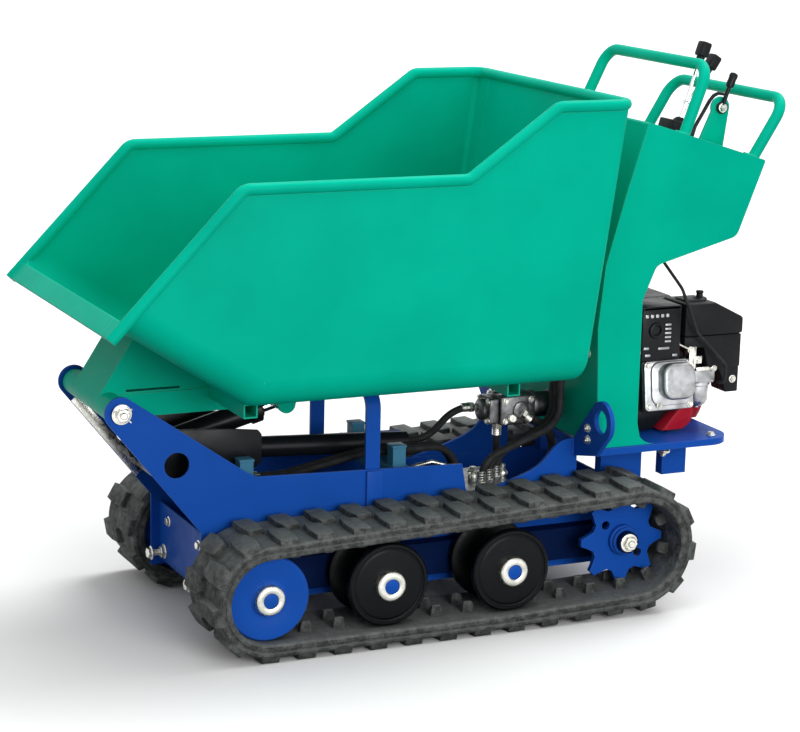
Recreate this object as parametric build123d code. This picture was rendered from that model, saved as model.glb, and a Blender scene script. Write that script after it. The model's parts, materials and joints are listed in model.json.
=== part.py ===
"""Walk-behind tracked site dumper with a front-tipping skip, in millimetres.

Frame: +X forward (skip end), +Y to the machine's left, +Z up.
Origin: on the ground, under the middle of the overall box.
"""
import os
from math import atan2, cos, degrees, hypot, radians, sin, tan

from build123d import *

# Shared fits
SEAT = 0.2  # gap between a piece and the seat that carries it
SHAFT_FIT = 0.15  # radial gap of a bore on its fixed axle
RUN_FIT = 0.4  # radial gap of a bore on a pin that turns

# Undercarriage
TRACK_GAP = 17.0  # from the chassis plate to the track's inner edge
TRACK_WIDTH = 180.0
BAND_THICK = 28.0
LUG_HEIGHT = 12.0
LUG_LENGTH = 40.0
LUG_TAPER = 14.0
LUG_PITCH = 80.0
HORN_HEIGHT = 22.0
HORN_LENGTH = 28.0
HORN_TAPER = 12.0
HORN_WIDTH = 14.0
HORN_ROW_Y = 28.0
ROLLER_RADIUS = 90.0
ROLLER_FACE_RADIUS = 80.0
ROLLER_X = (203.0, -83.0)
IDLER_X = 473.0
IDLER_RADIUS = 90.0
SPROCKET_X = -382.0
SPROCKET_RISE = 10.0
SPROCKET_SEAT_RADIUS = 103.0
SPROCKET_TEETH = 8
SPROCKET_ROOT_RADIUS = 74.0
SPROCKET_THICK = 12.0
SPROCKET_HOLE_CIRCLE = 54.0
SPROCKET_HOLE_RADIUS = 10.0
SPROCKET_HOLE_TURN = 40.0
AXLE_RADIUS = 17.0
AXLE_REACH = 74.0  # from the track's middle to the axle's end
HUB_RADIUS = 30.0
FLANGE_INNER_Y = 42.0
FLANGE_OUTER_Y = 62.0
FRAME_TOP = 168.0
FRAME_BOTTOM = 96.0
FRAME_WIDTH = 36.0
MOTOR_RADIUS = 38.0
MOTOR_LENGTH = 105.0

# Chassis
PLATE_Y = 163.0
PLATE_THICK = 6.0
CHASSIS_FLOOR_Z = 70.0
CHASSIS_REAR_X = -432.0
CHASSIS_NOSE_X = 558.0
NOSE_TOP_Z = 232.0
DECK_FRONT_Z = 341.0
DECK_REAR_Z = 326.0
DECK_FRONT_X = 433.0
DECK_REAR_X = -42.0
LOW_EDGE_Z = 258.0
HINGE_X = 731.0
HINGE_Z = 500.0
EAR_RADIUS = 34.0
HINGE_PIN_RADIUS = 15.0
HINGE_PIN_END_Y = 176.0
ACCESS_HOLE_X = 611.0
ACCESS_HOLE_Z = 381.0
ACCESS_HOLE_RADIUS = 27.5
BELLY_THICK = 5.0
APRON_X = 534.0
APRON_TOP_Z = 215.0
HOOP_X = 168.0
HOOP_WIDTH = 33.0
HOOP_THICK = 8.0
HOOP_TOP_Z = 503.0
HOOP_FOOT_Z = 258.0
HOOP_BEND = 42.0
STUB_X = (443.0, 91.0)
STUB_Y = 110.0
STUB_SIDE = 30.0
STUB_TOP_Z = 366.0
CROSS_BAR_Z = 292.0
CROSS_BAR_HEIGHT = 30.0
EYE_X = -315.0
EYE_Y = 288.0
EYE_Z = 426.0
EYE_RADIUS = 45.0
EYE_HOLE_RADIUS = 26.0
EYE_PLATE_THICK = 10.0
EYE_ROOT_Z = (323.0, 362.0)
SWEEP_THICK = 8.0
SWEEP_TOP = ((-76.0, 258.0), (-138.0, 275.0), (-191.0, 292.0), (-231.0, 312.0), (-264.0, 346.0), (-304.0, 362.0))
SWEEP_DEPTH = 40.0
PLATFORM_TOP = 356.0
PLATFORM_THICK = 15.0
PLATFORM_FRONT_X = -321.0
PLATFORM_REAR_X = -672.0
PLATFORM_HALF_WIDTH = 258.0
PLATFORM_CORNER = 60.0
TAIL_X = (-610.0, -390.0)
TAIL_Y = (130.0, 156.8)
TAIL_LOW_Z = 254.0
TAIL_WINDOW_X = (-548.0, -494.0)
TAIL_WINDOW_TOP = 312.0

# Skip
SKIP_HALF_WIDTH = 354.0
SKIP_SHEET = 4.0
SKIP_BEND = 60.0
SKIP_EDGE = 16.0  # bend of the back's outer edges
FLOOR_Z = 530.0
FLOOR_FRONT_X = 513.0
FLOOR_REAR_X = -235.0
LIP_X = 795.5
LIP_Z = 710.8
LIP_RISE = 19.0  # the lip's flat bar above the slope's end
LIP_DROP = 26.0
LIP_THICK = 9.0
RIM_FRONT_X = 541.0
RIM_Z = 976.0
RIM_STEP_X = 54.0
BACK_FRONT_X = -147.0
BACK_X = -316.0
BACK_Z = 1118.0
RIM_RADIUS = 12.0
RIM_CORNER = 32.0
CROSS_TUBE_X = (498.0, -97.0)
CROSS_TUBE_SIDE = 30.0
CROSS_TUBE_WALL = 3.0
CROSS_TUBE_SETBACK = 8.0  # from the tube's end to the side's bend
BRACKET_HALF_WIDTH = 80.0
BRACKET_SHEET = 6.0
BRACKET_BACK_X = 444.0
BRACKET_RISE = 170.0
RAIL_Z = (471.0, 520.0)
RAIL_STEP = 4.0  # how far the rails stand out from the gussets
SLOT_X = (575.0, 693.0)
SLOT_Z = (524.0, 529.0)
HINGE_TUBE_RADIUS = 27.0
HINGE_TUBE_END_Y = 150.0

# Tipping cylinder
ROD_PIN_X = 320.0
ROD_PIN_Z = 460.0
BARREL_RADIUS = 25.0
BARREL_LENGTH = 250.0
BARREL_EYE_RADIUS = 22.0
ROD_RADIUS = 13.0
ROD_START = 36.0
ROD_EYE_RADIUS = 20.0
CYLINDER_EYE_HALF = 15.0
CYLINDER_PIN_RADIUS = 10.0
ROD_PIN_HALF = 30.0
LUG_GAP = 4.0
LUG_SHEET = 8.0
LUG_ROUND = 20.0
LUG_FOOT = 50.0
ANCHOR_GAP = 6.0  # from the barrel to the lugs of its base pin
ANCHOR_ROUND = 16.0
ANCHOR_BAR = (572.0, 318.0)
ANCHOR_BAR_SIDE = 36.0

# Control console
CONSOLE_HALF_WIDTH = 250.0
CONSOLE_SHEET = 3.0
CONSOLE_TOP_FRONT = (-421.0, 1066.5)
CONSOLE_TOP_REAR = (-720.0, 974.5)
CONSOLE_CHIN = (-655.0, 809.0)
CONSOLE_THROAT = (-456.0, 755.0)
POST_BACK_X = -424.0
POST_FRONT_X = -316.0
POST_KNEE_Z = 623.0
POST_BEND_Z = 760.0
CONSOLE_BROW = (-372.0, 912.0)
CONSOLE_CORNER = 26.0
CONSOLE_TOP_CORNER = 5.0
FLARE_RISE = 57.0  # height of the side panels' curved foot
FLARE_REACH = 46.0  # how far that foot runs out behind the post
HANDLE_RADIUS = 12.5
HANDLE_BEND = 46.0
HANDLE_FOOT_INSET = 16.0
HANDLE_FOOT_Y = CONSOLE_HALF_WIDTH - HANDLE_FOOT_INSET
FRONT_HANDLE_FOOT_X = -512.0
FRONT_HANDLE_INSET = 31.0
FRONT_HANDLE_TOP = (-581.5, CONSOLE_HALF_WIDTH - FRONT_HANDLE_INSET, 1180.0)
REAR_HANDLE_FOOT_X = -687.0
REAR_HANDLE_INSET = 14.0
REAR_HANDLE_TOP = (-773.5, CONSOLE_HALF_WIDTH - REAR_HANDLE_INSET, 1105.0)
LEVER_FOOT = (-600.0, 60.0)
LEVER_KNOBS = ((-654.0, 76.0, 1202.0), (-698.0, 46.0, 1170.0))
LEVER_RADIUS = 4.0
KNOB_SIZE = (34.0, 26.0, 34.0)
LEVER_BLOCK = (62.0, 64.0, 38.0)
THROTTLE_Y = 100.0
THROTTLE_PIVOT = (-689.0, 1075.0)
THROTTLE_TIP = (-714.0, 1143.0)
THROTTLE_RADIUS = 8.0
THROTTLE_PLATE = 6.0
THROTTLE_ROUND = 26.0
THROTTLE_FOOT = 30.0

# Engine
CRANK_Y = -20.0
CRANK_Z = 440.0
CASE_FRONT_X = -500.0
CASE_REAR_X = -640.0
CASE_HALF_WIDTH = 96.0
CASE_TOP_Z = 522.0
CYLINDER_TILT = 8.0
CYLINDER_START = 98.0
CYLINDER_END = 196.0
FIN_COUNT = 8
FIN_THICK = 4.0
FIN_SIZE = (128.0, 128.0)
CYLINDER_CORE_RADIUS = 44.0
ROCKER_LENGTH = 38.0
ROCKER_FLANGE = 12.0
ROCKER_SIZE = (126.0, 112.0)
ROCKER_STEP = 12.0
FAN_RADIUS = 128.0
FAN_DEPTH = 52.0
RECOIL_RADIUS = 88.0
RECOIL_DEPTH = 22.0
AIR_FRONT_X = -594.0
AIR_STEP_X = -650.0
AIR_SLOPE_X = -692.0
AIR_REAR_X = -742.0
AIR_BOTTOM_Z = 500.0
AIR_STEP_Z = 548.0
AIR_TOP_Z = 651.0
AIR_REAR_TOP_Z = 608.0
AIR_Y = (100.0, 200.0)
CARB_X = -670.0
CARB_SIZE = (52.0, 60.0, 70.0)
TANK_X = (-505.0, -636.0)
TANK_Y = (-172.0, 52.0)
TANK_Z = (548.0, 640.0)
TANK_CORNER = 30.0
MUFFLER_X = (-494.0, -586.0)
MUFFLER_Y = (90.0, 190.0)
MUFFLER_Z = (544.0, 641.0)
MUFFLER_LID = 7.0
MUFFLER_LID_EDGE = 3.0
OUTLET_RADIUS = 14.0

# Hydraulics
PUMP_Y = 64.0
PUMP_Z = 419.0
PUMP_FRONT_X = -126.0
PUMP_REAR_X = -262.0
PUMP_HEIGHT = 66.0
PUMP_WIDTH = 68.0
BELL_RADIUS = 26.0
RESERVOIR_RADIUS = 23.0
RESERVOIR_FRONT_X = 452.0
RESERVOIR_REAR_X = 20.0
RESERVOIR_SLOPE = 0.05
VALVE_X = (-60.0, -190.0)
VALVE_REACH = 177.0  # from the left chassis plate inwards
VALVE_Z = (200.0, 262.0)
HOSE_RADIUS = 8.0
HOSE_BEND = 62.0
POST_HOSE_Y = (112.0, 130.0, 148.0)
POST_HOSE_X = -286.0
POST_HOSE_TOP_Z = 730.0
POST_HOSE_TURN_Z = 392.0
POST_HOSE_FOOT_X = (-150.0, -123.0, -96.0)
TIP_HOSE_Y = (42.0, 64.0)
TIP_HOSE_X = -76.0
TIP_HOSE_Z = 342.0
CABLE_RADIUS = 3.5
CABLE_BEND = 24.0
CABLE_Y = 210.0
CABLE_START = (-512.0, 150.0)

# Worked out from the sizes above
TRACK_MID_Y = PLATE_Y + TRACK_GAP + TRACK_WIDTH / 2
TRACK_THICK = BAND_THICK + LUG_HEIGHT
AXLE_END_Y = TRACK_MID_Y + AXLE_REACH
ROLLER_Z = TRACK_THICK + ROLLER_RADIUS
IDLER_Z = TRACK_THICK + IDLER_RADIUS
SPROCKET_Z = SPROCKET_RISE + TRACK_THICK + SPROCKET_SEAT_RADIUS
PLATE_INNER_Y = PLATE_Y - PLATE_THICK
SKIP_MID_Y = SKIP_HALF_WIDTH - SKIP_SHEET / 2
SKIP_SPLIT_Y = SKIP_HALF_WIDTH - SKIP_BEND
CROSS_TUBE_END_Y = SKIP_SPLIT_Y - CROSS_TUBE_SETBACK
SKIP_BLANK_Z = BACK_Z + SKIP_BEND  # height of the skip's blank before its rim is cut
MIDDLE_X = 18.0  # the middle of the machine's length, where the saved frame begins
FAR = 3000.0  # beyond the machine on every side
CYLINDER_LENGTH = hypot(ROD_PIN_X - ACCESS_HOLE_X, ROD_PIN_Z - ACCESS_HOLE_Z)
CYLINDER_ANGLE = atan2(ROD_PIN_Z - ACCESS_HOLE_Z, ROD_PIN_X - ACCESS_HOLE_X)
VALVE_Y = (PLATE_INNER_Y - VALVE_REACH, PLATE_INNER_Y)
CONSOLE_SLOPE = (CONSOLE_TOP_FRONT[1] - CONSOLE_TOP_REAR[1]) / (CONSOLE_TOP_FRONT[0] - CONSOLE_TOP_REAR[0])


def block(x_span, y_span, z_span):
    """A box between two values on each axis."""
    x_low, x_high = sorted(x_span)
    y_low, y_high = sorted(y_span)
    z_low, z_high = sorted(z_span)
    middle = Pos((x_low + x_high) / 2, (y_low + y_high) / 2, (z_low + z_high) / 2)
    return middle * Box(x_high - x_low, y_high - y_low, z_high - z_low)


def prism(points, y_low, y_high):
    """An X-Z outline carried straight across from one Y to another."""
    outline = Polyline(*[(x, y_low, z) for x, z in points], close=True)
    return extrude(make_face(outline), amount=y_high - y_low, dir=(0, 1, 0))


def cross_edges(solid):
    """The straight edges of a prism that run across the machine."""
    return solid.edges().filter_by(Axis.Y)


def rod_y(x, z, y_low, y_high, radius):
    """A round bar across the machine."""
    return Pos(x, (y_low + y_high) / 2, z) * Rot(90, 0, 0) * Cylinder(radius, y_high - y_low)


def rod_x(x_low, x_high, y, z, radius):
    """A round bar along the machine."""
    return Pos((x_low + x_high) / 2, y, z) * Rot(0, 90, 0) * Cylinder(radius, x_high - x_low)


def rod_between(start, end, radius):
    """A round bar from one point to another."""
    axis = Vector(*end) - Vector(*start)
    return extrude(Plane(origin=start, z_dir=axis) * Circle(radius), amount=axis.length)


def tube_along(path, radius):
    """A round bar swept along a path."""
    section = Plane(origin=path @ 0, z_dir=path % 0) * Circle(radius)
    return sweep(section, path=path)


def both_sides(solid):
    """A solid on the left together with its mirror image on the right."""
    return [solid, mirror(solid, about=Plane.XZ)]


def save(node, *solids):
    """Write one node's solids to its own file."""
    moved = [Pos(-MIDDLE_X, 0, 0) * s for s in solids]
    shape = moved[0] if len(moved) == 1 else Compound(children=[Solid(s.solid().wrapped) for s in moved])
    export_step(shape, f"parts/{node}.step")


def loop_face(offset):
    """The track's loop round idler, rear roller and sprocket, at a distance outside the seats."""
    wheels = (
        (IDLER_X, IDLER_Z, IDLER_RADIUS),
        (ROLLER_X[1], ROLLER_Z, ROLLER_RADIUS),
        (SPROCKET_X, SPROCKET_Z, SPROCKET_SEAT_RADIUS),
    )
    return make_hull([Pos(x, z) * Edge.make_circle(r + offset) for x, z, r in wheels])


def track():
    """A rubber belt with staggered outer lugs and two rows of inner guide horns."""
    upright = Plane(origin=(0, TRACK_MID_Y, 0), x_dir=(1, 0, 0), z_dir=(0, -1, 0))
    belt = extrude(upright * (loop_face(BAND_THICK) - loop_face(0)), amount=TRACK_WIDTH / 2, both=True)
    outer = (upright * loop_face(BAND_THICK)).wire()
    inner = (upright * loop_face(0)).wire()
    steps = round(outer.length / LUG_PITCH)
    pieces = []
    for step in range(steps):
        for side, shift in ((-1, 0.0), (1, 0.5)):
            seat = belt_plane(outer, ((step + shift) / steps) % 1.0, 1)
            pieces.append(stud(seat, (LUG_LENGTH, TRACK_WIDTH / 2, LUG_HEIGHT), LUG_TAPER, side * TRACK_WIDTH / 4))
            seat = belt_plane(inner, step / steps, -1)
            pieces.append(stud(seat, (HORN_LENGTH, HORN_WIDTH, HORN_HEIGHT), HORN_TAPER, side * HORN_ROW_Y))
    ground = block((-FAR, FAR), (-FAR, FAR), (-FAR, 0))
    return (belt + pieces) - ground


def stud(seat, size, taper, shift):
    """A lug or horn on the belt that narrows away from it, carried straight across the belt."""
    length, width, height = size
    root = BAND_THICK / 3
    foot = length / 2
    head = foot - height * tan(radians(taper))
    start = seat.origin + Vector(0, shift - width / 2, 0)
    side = Plane(origin=start, x_dir=seat.x_dir, z_dir=seat.x_dir.cross(seat.z_dir))
    outline = Polyline((-foot, -root), (foot, -root), (foot, 0), (head, height), (-head, height), (-foot, 0), close=True)
    return extrude(side * make_face(outline), amount=width, dir=(0, 1, 0))


def belt_plane(wire, place, way):
    """A plane on the belt at a place along it, facing out of the loop (1) or into it (-1)."""
    point = wire @ place
    along = wire % place
    normal = along.cross(Vector(0, 1, 0))
    middle = Vector((IDLER_X + SPROCKET_X) / 2, TRACK_MID_Y, ROLLER_Z)
    if normal.dot(point - middle) * way < 0:
        normal = normal * -1
    return Plane(origin=point, x_dir=along, z_dir=normal)


def wheel_pair(x, z, radius, face_radius, hub_radius):
    """Two flanges joined by a core, running either side of the guide horns."""
    core = rod_y(x, z, TRACK_MID_Y - FLANGE_OUTER_Y, TRACK_MID_Y + FLANGE_OUTER_Y, hub_radius + 12)
    wheel = core
    for side in (-1, 1):
        near = TRACK_MID_Y + side * FLANGE_INNER_Y
        far = TRACK_MID_Y + side * FLANGE_OUTER_Y
        wheel += rod_y(x, z, min(near, far), max(near, far), radius - SEAT)
    face = TRACK_MID_Y + FLANGE_OUTER_Y
    dish = rod_y(x, z, face - 8, face + 1, face_radius - 12) - rod_y(x, z, face - 9, face + 2, hub_radius + 6)
    bore = rod_y(x, z, 0, FAR, AXLE_RADIUS + SHAFT_FIT)
    return wheel - dish - bore


def sprocket():
    """A toothed drive disc with its hub, between the two horn rows."""
    tip = SPROCKET_SEAT_RADIUS - 2
    disc = Circle(SPROCKET_ROOT_RADIUS)
    flank = Polyline((SPROCKET_ROOT_RADIUS - 8, -24), (tip - 10, -12), (tip, -8), (tip, 8), (tip - 10, 12),
                     (SPROCKET_ROOT_RADIUS - 8, 24), close=True)
    tooth = make_face(flank)
    outline = disc + [Rot(0, 0, 360 / SPROCKET_TEETH * n) * tooth for n in range(SPROCKET_TEETH)]
    holes = [Rot(0, 0, SPROCKET_HOLE_TURN + 180 * n) * Pos(SPROCKET_HOLE_CIRCLE, 0) * Circle(SPROCKET_HOLE_RADIUS)
             for n in range(2)]
    plate = Plane(origin=(SPROCKET_X, TRACK_MID_Y, SPROCKET_Z), x_dir=(1, 0, 0), z_dir=(0, -1, 0))
    body = extrude(plate * (outline - holes), amount=SPROCKET_THICK / 2, both=True)
    hub = rod_y(SPROCKET_X, SPROCKET_Z, TRACK_MID_Y - 40, TRACK_MID_Y + 24, HUB_RADIUS)
    bore = rod_y(SPROCKET_X, SPROCKET_Z, 0, FAR, AXLE_RADIUS + SHAFT_FIT)
    return body + hub - bore


def axle(x, z, inner_y):
    """A fixed axle with the nut that holds the wheel on it."""
    face = AXLE_END_Y - 12
    bar = rod_y(x, z, inner_y, AXLE_END_Y, AXLE_RADIUS)
    return bar + rod_y(x, z, face + SEAT, AXLE_END_Y, AXLE_RADIUS + 9)


def track_frame():
    """A box beam on the chassis plate, carrying the wheels' axles."""
    low = PLATE_Y
    high = PLATE_Y + FRAME_WIDTH
    outline = [(SPROCKET_X - 40, FRAME_BOTTOM + 26), (SPROCKET_X - 40, FRAME_TOP), (IDLER_X + 24, FRAME_TOP),
               (IDLER_X + 24, FRAME_BOTTOM + 12), (IDLER_X - 10, FRAME_BOTTOM), (SPROCKET_X + 10, FRAME_BOTTOM)]
    beam = prism(outline, low, high)
    beam = fillet(cross_edges(beam), 9)
    for x in ROLLER_X:
        beam += axle(x, ROLLER_Z, high - 5)
    beam += axle(IDLER_X, IDLER_Z, high - 5)
    return beam + axle_stub(high)


def axle_stub(start_y):
    """The sprocket's shaft with its end nut."""
    end = TRACK_MID_Y + 24
    shaft = rod_y(SPROCKET_X, SPROCKET_Z, start_y - 5, end + 14, AXLE_RADIUS)
    return shaft + rod_y(SPROCKET_X, SPROCKET_Z, end + SEAT, end + 14, AXLE_RADIUS + 7)


def drive_motor():
    """A drive motor inside the chassis, on the sprocket's axis."""
    return rod_y(SPROCKET_X, SPROCKET_Z, PLATE_INNER_Y - MOTOR_LENGTH, PLATE_INNER_Y, MOTOR_RADIUS)


def chassis_side():
    """One side plate, from the tail to the raised hinge ear."""
    slope = atan2(HINGE_Z - DECK_FRONT_Z, HINGE_X - DECK_FRONT_X)
    up = Vector(-sin(slope), 0, cos(slope)) * EAR_RADIUS
    points = [
        (CHASSIS_REAR_X, CHASSIS_FLOOR_Z),
        (CHASSIS_NOSE_X, CHASSIS_FLOOR_Z),
        (CHASSIS_NOSE_X, NOSE_TOP_Z),
        (HINGE_X + EAR_RADIUS * cos(radians(38)), HINGE_Z - EAR_RADIUS * sin(radians(38))),
        (HINGE_X + up.X, HINGE_Z + up.Z),
        (DECK_FRONT_X + 22, DECK_FRONT_Z + 10),
        (DECK_FRONT_X, DECK_FRONT_Z),
        (DECK_REAR_X, DECK_REAR_Z),
        (DECK_REAR_X - 12, LOW_EDGE_Z),
        (CHASSIS_REAR_X, LOW_EDGE_Z),
    ]
    plate = prism(points, PLATE_INNER_Y, PLATE_Y)
    plate += rod_y(HINGE_X, HINGE_Z, PLATE_INNER_Y, PLATE_Y, EAR_RADIUS)
    plate -= rod_y(HINGE_X, HINGE_Z, 0, FAR, HINGE_PIN_RADIUS + SHAFT_FIT)
    return plate - rod_y(ACCESS_HOLE_X, ACCESS_HOLE_Z, 0, FAR, ACCESS_HOLE_RADIUS)


def chassis_belly():
    """The bent plate under the machine, with its front apron and tail."""
    nose = (APRON_X, CHASSIS_FLOOR_Z + 4)
    apron = (APRON_X, APRON_TOP_Z)
    tail = (CHASSIS_REAR_X + BELLY_THICK, CHASSIS_FLOOR_Z + 4)
    top = (CHASSIS_REAR_X + BELLY_THICK, LOW_EDGE_Z - 6)
    path = FilletPolyline((apron[0], 0, apron[1]), (nose[0], 0, nose[1]), (tail[0], 0, tail[1]),
                          (top[0], 0, top[1]), radius=24)
    face = Face(offset_band(path, BELLY_THICK))
    return Pos(0, -PLATE_INNER_Y, 0) * extrude(face, amount=2 * PLATE_INNER_Y, dir=(0, 1, 0))


def offset_band(path, thick):
    """The closed outline of a bent sheet on a path in the X-Z plane."""
    upper = path.offset_2d(thick, side=Side.LEFT, closed=True)
    return upper


def hoop():
    """An inverted-U flat bar over the chassis, between the side plates."""
    outer = PLATE_INNER_Y
    height = HOOP_TOP_Z - HOOP_FOOT_Z
    shape = Rectangle(2 * outer, height)
    shape = fillet(shape.vertices().group_by(Axis.Y)[-1], HOOP_BEND)
    inner = Pos(0, -HOOP_THICK) * Rectangle(2 * (outer - HOOP_THICK), height)
    inner = fillet(inner.vertices().group_by(Axis.Y)[-1], HOOP_BEND - HOOP_THICK)
    plane = Plane(origin=(HOOP_X, 0, HOOP_FOOT_Z + height / 2), x_dir=(0, 1, 0), z_dir=(1, 0, 0))
    return extrude(plane * (shape - inner), amount=HOOP_WIDTH / 2, both=True)


def cross_bars():
    """Two bars between the side plates, each with a pair of square stubs."""
    bars = []
    for x in STUB_X:
        top = CROSS_BAR_Z + CROSS_BAR_HEIGHT
        bar = block((x - 22, x + 22), (-PLATE_INNER_Y, PLATE_INNER_Y), (CROSS_BAR_Z, top))
        for y in (-STUB_Y, STUB_Y):
            half = STUB_SIDE / 2
            bar += block((x - half, x + half), (y - half, y + half), (top - 1, STUB_TOP_Z))
        saddle = block((x - half, x + half), (-RESERVOIR_RADIUS, RESERVOIR_RADIUS), (top - 1, reservoir_z(x)))
        around = [(end, 0, reservoir_z(end)) for end in (x + 60, x - 60)]
        bars.append(bar + saddle - rod_between(*around, RESERVOIR_RADIUS + SEAT))
    return bars


def lifting_bracket():
    """A plate that sweeps up beside the chassis, with a lifting eye on a plate that stands out square to it."""
    high = PLATE_Y + SWEEP_THICK
    rear = EYE_X - EYE_PLATE_THICK / 2
    low = LOW_EDGE_Z - SWEEP_DEPTH
    curve = Spline(*[(x, PLATE_Y, z) for x, z in SWEEP_TOP])
    front = SWEEP_TOP[0]
    top = SWEEP_TOP[-1]
    rest = Polyline(*[(x, PLATE_Y, z) for x, z in (top, (rear, top[1]), (rear, low), (front[0], low), front)])
    plate = extrude(make_face([curve, rest]), amount=SWEEP_THICK, dir=(0, 1, 0))
    root_low, root_high = EYE_ROOT_Z
    outline = [(high - 1, root_low), (272.0, 346.0), (EYE_Y + 30, EYE_Z - 33), (EYE_Y, EYE_Z), (EYE_Y - 30, EYE_Z + 33),
               (215.0, 415.0), (high - 1, root_high)]
    flat = Plane(origin=(rear, 0, 0), x_dir=(0, 1, 0), z_dir=(1, 0, 0))
    shape = make_face(Polyline(*outline, close=True)) + Pos(EYE_Y, EYE_Z) * Circle(EYE_RADIUS)
    eye = extrude(flat * (shape - Pos(EYE_Y, EYE_Z) * Circle(EYE_HOLE_RADIUS)), amount=EYE_PLATE_THICK)
    return plate + eye


def engine_platform():
    """The engine's deck with rounded rear corners, on two tail beams with open windows."""
    low = PLATFORM_TOP - PLATFORM_THICK
    deck = block((PLATFORM_REAR_X, PLATFORM_FRONT_X), (-PLATFORM_HALF_WIDTH, PLATFORM_HALF_WIDTH), (low, PLATFORM_TOP))
    deck = fillet(deck.edges().filter_by(Axis.Z).group_by(Axis.X)[0], PLATFORM_CORNER)
    beam = block(TAIL_X, TAIL_Y, (TAIL_LOW_Z, low + 1))
    beam -= block(TAIL_WINDOW_X, (0, FAR), (0, TAIL_WINDOW_TOP))
    for piece in both_sides(beam):
        deck += piece
    return deck


def skip_bucket(inset, top):
    """The skip's outer form, or its inside when inset by the sheet, carried up past the rim."""
    slope = atan2(LIP_Z - FLOOR_Z, LIP_X - FLOOR_FRONT_X)
    lean = atan2(FLOOR_REAR_X - BACK_X, BACK_Z - FLOOR_Z)
    floor = FLOOR_Z + inset
    front_x = FLOOR_FRONT_X - inset * (1 - cos(slope)) / sin(slope)
    rear_x = FLOOR_REAR_X + inset * (1 - sin(lean)) / cos(lean)
    rise = top - floor
    half = SKIP_HALF_WIDTH - inset
    blank = prism([(front_x, floor), (front_x + rise * cos(slope) / sin(slope), top), (-FAR, top), (-FAR, floor)], -half, half)
    low = [edge for edge in blank.edges() if edge.center().Z < top - 1 and edge.center().X > -FAR + 1]
    blank = fillet(low, SKIP_BEND - inset)
    reach = FAR / 4
    ahead = prism([(rear_x + reach * sin(lean) / cos(lean), floor - reach), (FAR, floor - reach), (FAR, top + reach),
                   (rear_x - (rise + reach) * sin(lean) / cos(lean), top + reach)], -FAR, FAR)
    solid = blank & ahead
    back = solid.faces().sort_by(Axis.X)[0]
    return fillet([edge for edge in back.edges() if edge.center().Z < top - 1], SKIP_EDGE - inset)


def rim_points():
    """The corners of the skip's rim, seen from the side, from the lip to the back."""
    return [(LIP_X, LIP_Z), (RIM_FRONT_X, RIM_Z), (RIM_STEP_X, RIM_Z), (BACK_FRONT_X, BACK_Z), (BACK_X, BACK_Z)]


def skip_shell():
    """The whole folded sheet of the skip, open at the top along its stepped rim."""
    tall = skip_bucket(0, SKIP_BLANK_Z) - skip_bucket(SKIP_SHEET, SKIP_BLANK_Z)
    rim = rim_points()
    reach = LIP_X - RIM_FRONT_X
    past_lip = (LIP_X + reach, LIP_Z - (RIM_Z - LIP_Z))
    under = [past_lip, *rim, (BACK_X - reach, BACK_Z), (BACK_X - reach, past_lip[1])]
    return tall & prism(under, -FAR, FAR)


def rim_bar():
    """The round bar on the left half of the rim, from the lip up and round the back's corner."""
    rim = [Vector(x, SKIP_MID_Y, z) for x, z in rim_points()]
    down = (rim[0] - rim[1]).normalized()
    last = Vector(BACK_X, SKIP_SPLIT_Y - 1, BACK_Z)
    path = FilletPolyline(rim[0] + down * LIP_DROP, *rim[1:], last, radius=RIM_CORNER)
    return tube_along(path, RIM_RADIUS)


def lip_bar():
    """The flat bar across the skip's lip, in line with the rim's front."""
    lip, brow = [Vector(x, 0, z) for x, z in rim_points()[:2]]
    down = (lip - brow).normalized()
    out = Vector(-down.Z, 0, down.X) * (LIP_THICK / 2)
    ends = [lip - down * LIP_RISE, lip + down * LIP_DROP]
    corners = [ends[0] + out, ends[1] + out, ends[1] - out, ends[0] - out]
    bar = prism([(corner.X, corner.Z) for corner in corners], -SKIP_MID_Y, SKIP_MID_Y)
    return fillet(cross_edges(bar), LIP_THICK / 4)


def skip_panels():
    """The skip's four sheets: two sides with their bends, the floor with its slope, and the back."""
    shell = skip_shell()
    side_zone = block((-FAR, FAR), (SKIP_SPLIT_Y, FAR), (-FAR, FAR))
    middle_zone = block((-FAR, FAR), (-SKIP_SPLIT_Y, SKIP_SPLIT_Y), (-FAR, FAR))
    left = (shell & side_zone) + (rim_bar() & side_zone) + (lip_bar() & side_zone)
    middle = shell & middle_zone
    back_zone = block((-FAR, FLOOR_REAR_X + SKIP_BEND), (-FAR, FAR), (FLOOR_Z + SKIP_BEND, FAR))
    back = middle & back_zone
    back += rod_y(BACK_X, BACK_Z, -SKIP_SPLIT_Y, SKIP_SPLIT_Y, RIM_RADIUS)
    floor = middle - back_zone
    floor += lip_bar() & middle_zone
    return left, mirror(left, about=Plane.XZ), floor, back


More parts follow.
